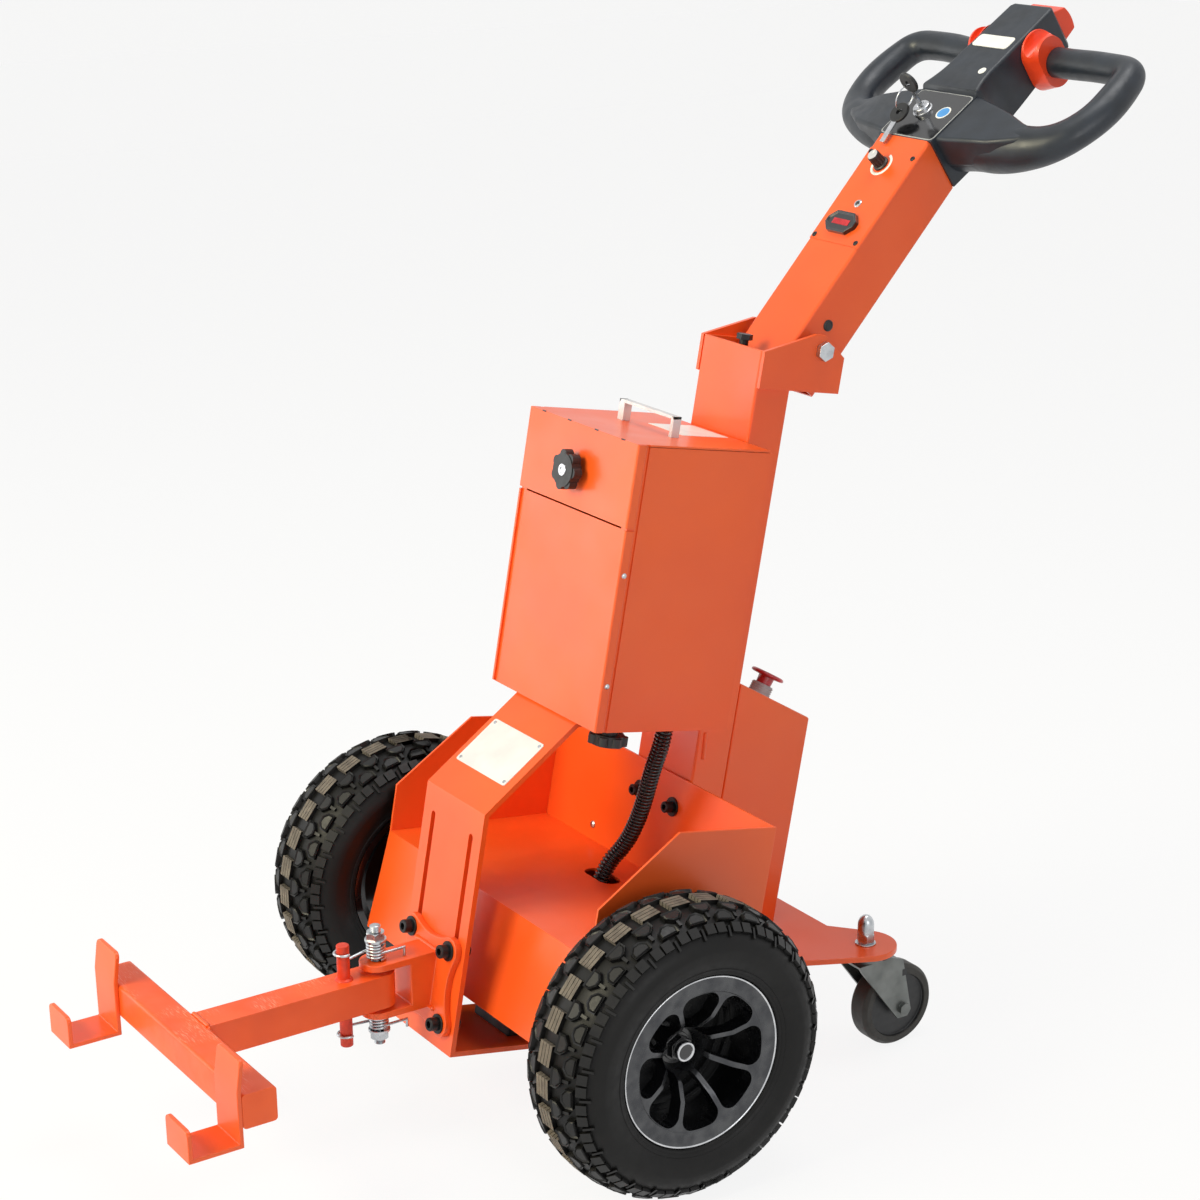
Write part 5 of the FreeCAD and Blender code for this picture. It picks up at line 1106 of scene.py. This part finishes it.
def wing(name, sign):
    """The flat-topped web from the panel's edge into the side arm, bridged between rectangular sections."""
    rings = []
    for i, (x, along, heading, half, top, foot) in enumerate((
            (36, 43, 0, 38.6, 0.3, 40), (77, 42, 2, 31, 2.0, 40), (108, 43, 8, 25, 5.5, 36),
            (134, 47, 20, 15, 10.2, 32), (154, 55, 36, 5, 15.6, 30))):
        deselect()
        bpy.ops.mesh.primitive_plane_add(size=1)
        ring = named(f"{name}_ring_{i}")
        run = Vector((math.cos(math.radians(heading)), 0, math.sin(math.radians(heading))))
        across = Vector((run.z, 0, -run.x))
        place = Matrix(((across.x * 2 * half, 0, run.x, x), (0, foot - top, 0, (top + foot) / 2),
                        (across.z * 2 * half, 0, run.z, along), (0, 0, 0, 1)))
        settle(ring, Matrix.Scale(MM, 4) @ place)
        edit(ring)
        bpy.ops.mesh.delete(type="ONLY_FACE")
        rings.append(ring)
    deselect()
    piece = joined(name, *rings)
    edit(piece)
    bpy.ops.mesh.bridge_edge_loops()
    bpy.ops.mesh.select_all(action="SELECT")
    bpy.ops.mesh.fill_holes(sides=4)
    bpy.ops.mesh.select_all(action="SELECT")
    if sign < 0:
        bpy.ops.transform.resize(value=(-1, 1, 1), center_override=(0, 0, 0))
    bpy.ops.mesh.normals_make_consistent(inside=False)
    deselect()
    return soften_edges(piece, 4.5, 4, 40)


for side, sign in SIDES.items():
    hand_over(wing(f"head_wing_{side}", sign), "tiller", HEAD_MOULDING, HEAD, smooth=45)
panel = sticker("key_panel", (86, 71), 5, 0.8)
hand_over(panel, "tiller", PANEL_GLOSS, HEAD @ turned_to("-y", (0, 0, 38)))
rim_piece = sticker("key_panel_rim", (88.5, 73.5), 6, 0.5)
hand_over(rim_piece, "tiller", GREY_PLASTIC, HEAD @ turned_to("-y", (0, 0, 38)))
labels = (("white_disc", 9.4, 0.3, WHITE_VINYL, (22.4, -0.8, 44)), ("blue_disc", 7.6, 0.5, BLUE_VINYL, (22.4, -0.8, 44)),
          ("small_disc", 5.0, 0.3, WHITE_VINYL, (25, -6, 110)))
for name, radius, high, material, place in labels:
    disc = lathe(name, [(0, 0), (radius, 0), (radius, high), (0, high)], steps=32)
    hand_over(disc, "tiller", material, HEAD @ turned_to("-y", place))
hand_over(sticker("head_label", (58, 19), 4.5, 0.8), "tiller", WHITE_VINYL,
          HEAD @ turned_to("-y", (-1, -6, 156.5)))

lock = lathe("lock_turned", [(0, 0), (11.5, 0), (11.5, 1.6), (10, 2.2), (9.6, 6.4), (8.8, 7), (6, 7), (5.4, 6), (0, 6)],
             steps=40)
LOCK = HEAD @ turned_to("-y", (-11, -0.6, 43))
hand_over(lock, "tiller", BRIGHT_STEEL, LOCK, ["key_switch"])


def key(name):
    """A key: round bow with its hole, and a blade, lying in the xz plane. The blade's tip is at z = -9.5."""
    bow = lathe(f"{name}_bow", [(3.0, -1.8), (10.2, -1.8), (11, -1), (11, 1), (10.2, 1.8), (3.0, 1.8), (3.0, -1.8)], steps=32)
    edit(bow)
    bpy.ops.transform.rotate(value=math.radians(90), orient_axis="X", center_override=(0, 0, 0))
    deselect()
    blade = block(f"{name}_blade", (6.5, 2, 24), (0, 0, 2.5))
    return at_height(bow, 24), soften_edges(blade, 0.4)


SPARE = HEAD @ Matrix.Translation(Vector((-23, -4.5, -4)) * MM) @ Matrix.Rotation(math.radians(17), 4, "X")
for name, place in (("key_in_lock", LOCK @ turned_to("+z", (0, 0, 11))), ("key_spare", SPARE)):
    bow, blade = key(name)
    hand_over(bow, "tiller", BLACK_NYLON, place @ Matrix.Scale(1.15, 4))
    hand_over(blade, "tiller", BRIGHT_STEEL, place @ Matrix.Scale(1.15, 4))
loop = wire_ring("key_ring", (14.5, 0, 0), 0.8)
edit(loop)
bpy.ops.mesh.spin(steps=30, angle=math.radians(360), center=(0, 0, 0), axis=(0, 0, 1))
tidy(loop)
RING = (HEAD @ Matrix.Translation(Vector((-16, -26, 33)) * MM) @ Matrix.Rotation(math.radians(20), 4, "Z")
        @ Matrix.Rotation(math.radians(90), 4, "Y"))
hand_over(loop, "tiller", BRIGHT_STEEL, RING, smooth=60)


def throttle(name, sign):
    """A long rounded boss about the grip, narrower at its outer end, with a thumb scoop in its upper side."""
    piece = round_bar(name, 24, 0, 22, 56)
    for way in (-1, 1):
        edit(piece, lambda v: v.y * way > 0.5, "VERT")
        bpy.ops.transform.translate(value=(0, way * 12 * MM, 0))
        bpy.ops.object.mode_set(mode="OBJECT")
    edit(piece, lambda c, n: n.z > 0.9)
    bpy.ops.transform.resize(value=(0.8, 0.84, 1), center_override=(0, 0, 0))
    bpy.ops.object.mode_set(mode="OBJECT")
    scoop = round_bar("thumb_scoop", 14, -40, 80, 48, (0, 90, 0))
    settle(scoop, Matrix.Translation(Vector((0, -34, 10.5)) * MM) @ Matrix.Scale(8.6 / 14, 4, (0, 0, 1)))
    modify(piece, "BOOLEAN", operation="DIFFERENCE", object=scoop, solver="EXACT")
    bpy.data.objects.remove(scoop)
    soften_edges(piece, 1.8, 4, 35)
    if sign < 0:
        edit(piece)
        bpy.ops.transform.resize(value=(1, 1, -1), center_override=(0, 0, 0))
        bpy.ops.mesh.normals_make_consistent(inside=False)
        deselect()
    return piece


levers = []
for side, sign in SIDES.items():
    lever = throttle(f"throttle_{side}", sign)
    spot = Matrix.Translation(Vector((sign * 36.6, 31, 177)) * MM)
    turn = Matrix(((0, 0, 1, 0), (0, 1, 0, 0), (-1, 0, 0, 0), (0, 0, 0, 1)))
    levers.append(settle(lever, HEAD @ spot @ turn))
hand_over(joined("throttles_dressed", *levers), "tiller", ORANGE_PLASTIC,
          stands_for=["throttles"], smooth=50)
dressed("safety_button", ORANGE_PLASTIC, 3.0, 4, smooth=50)
print("head fitted")
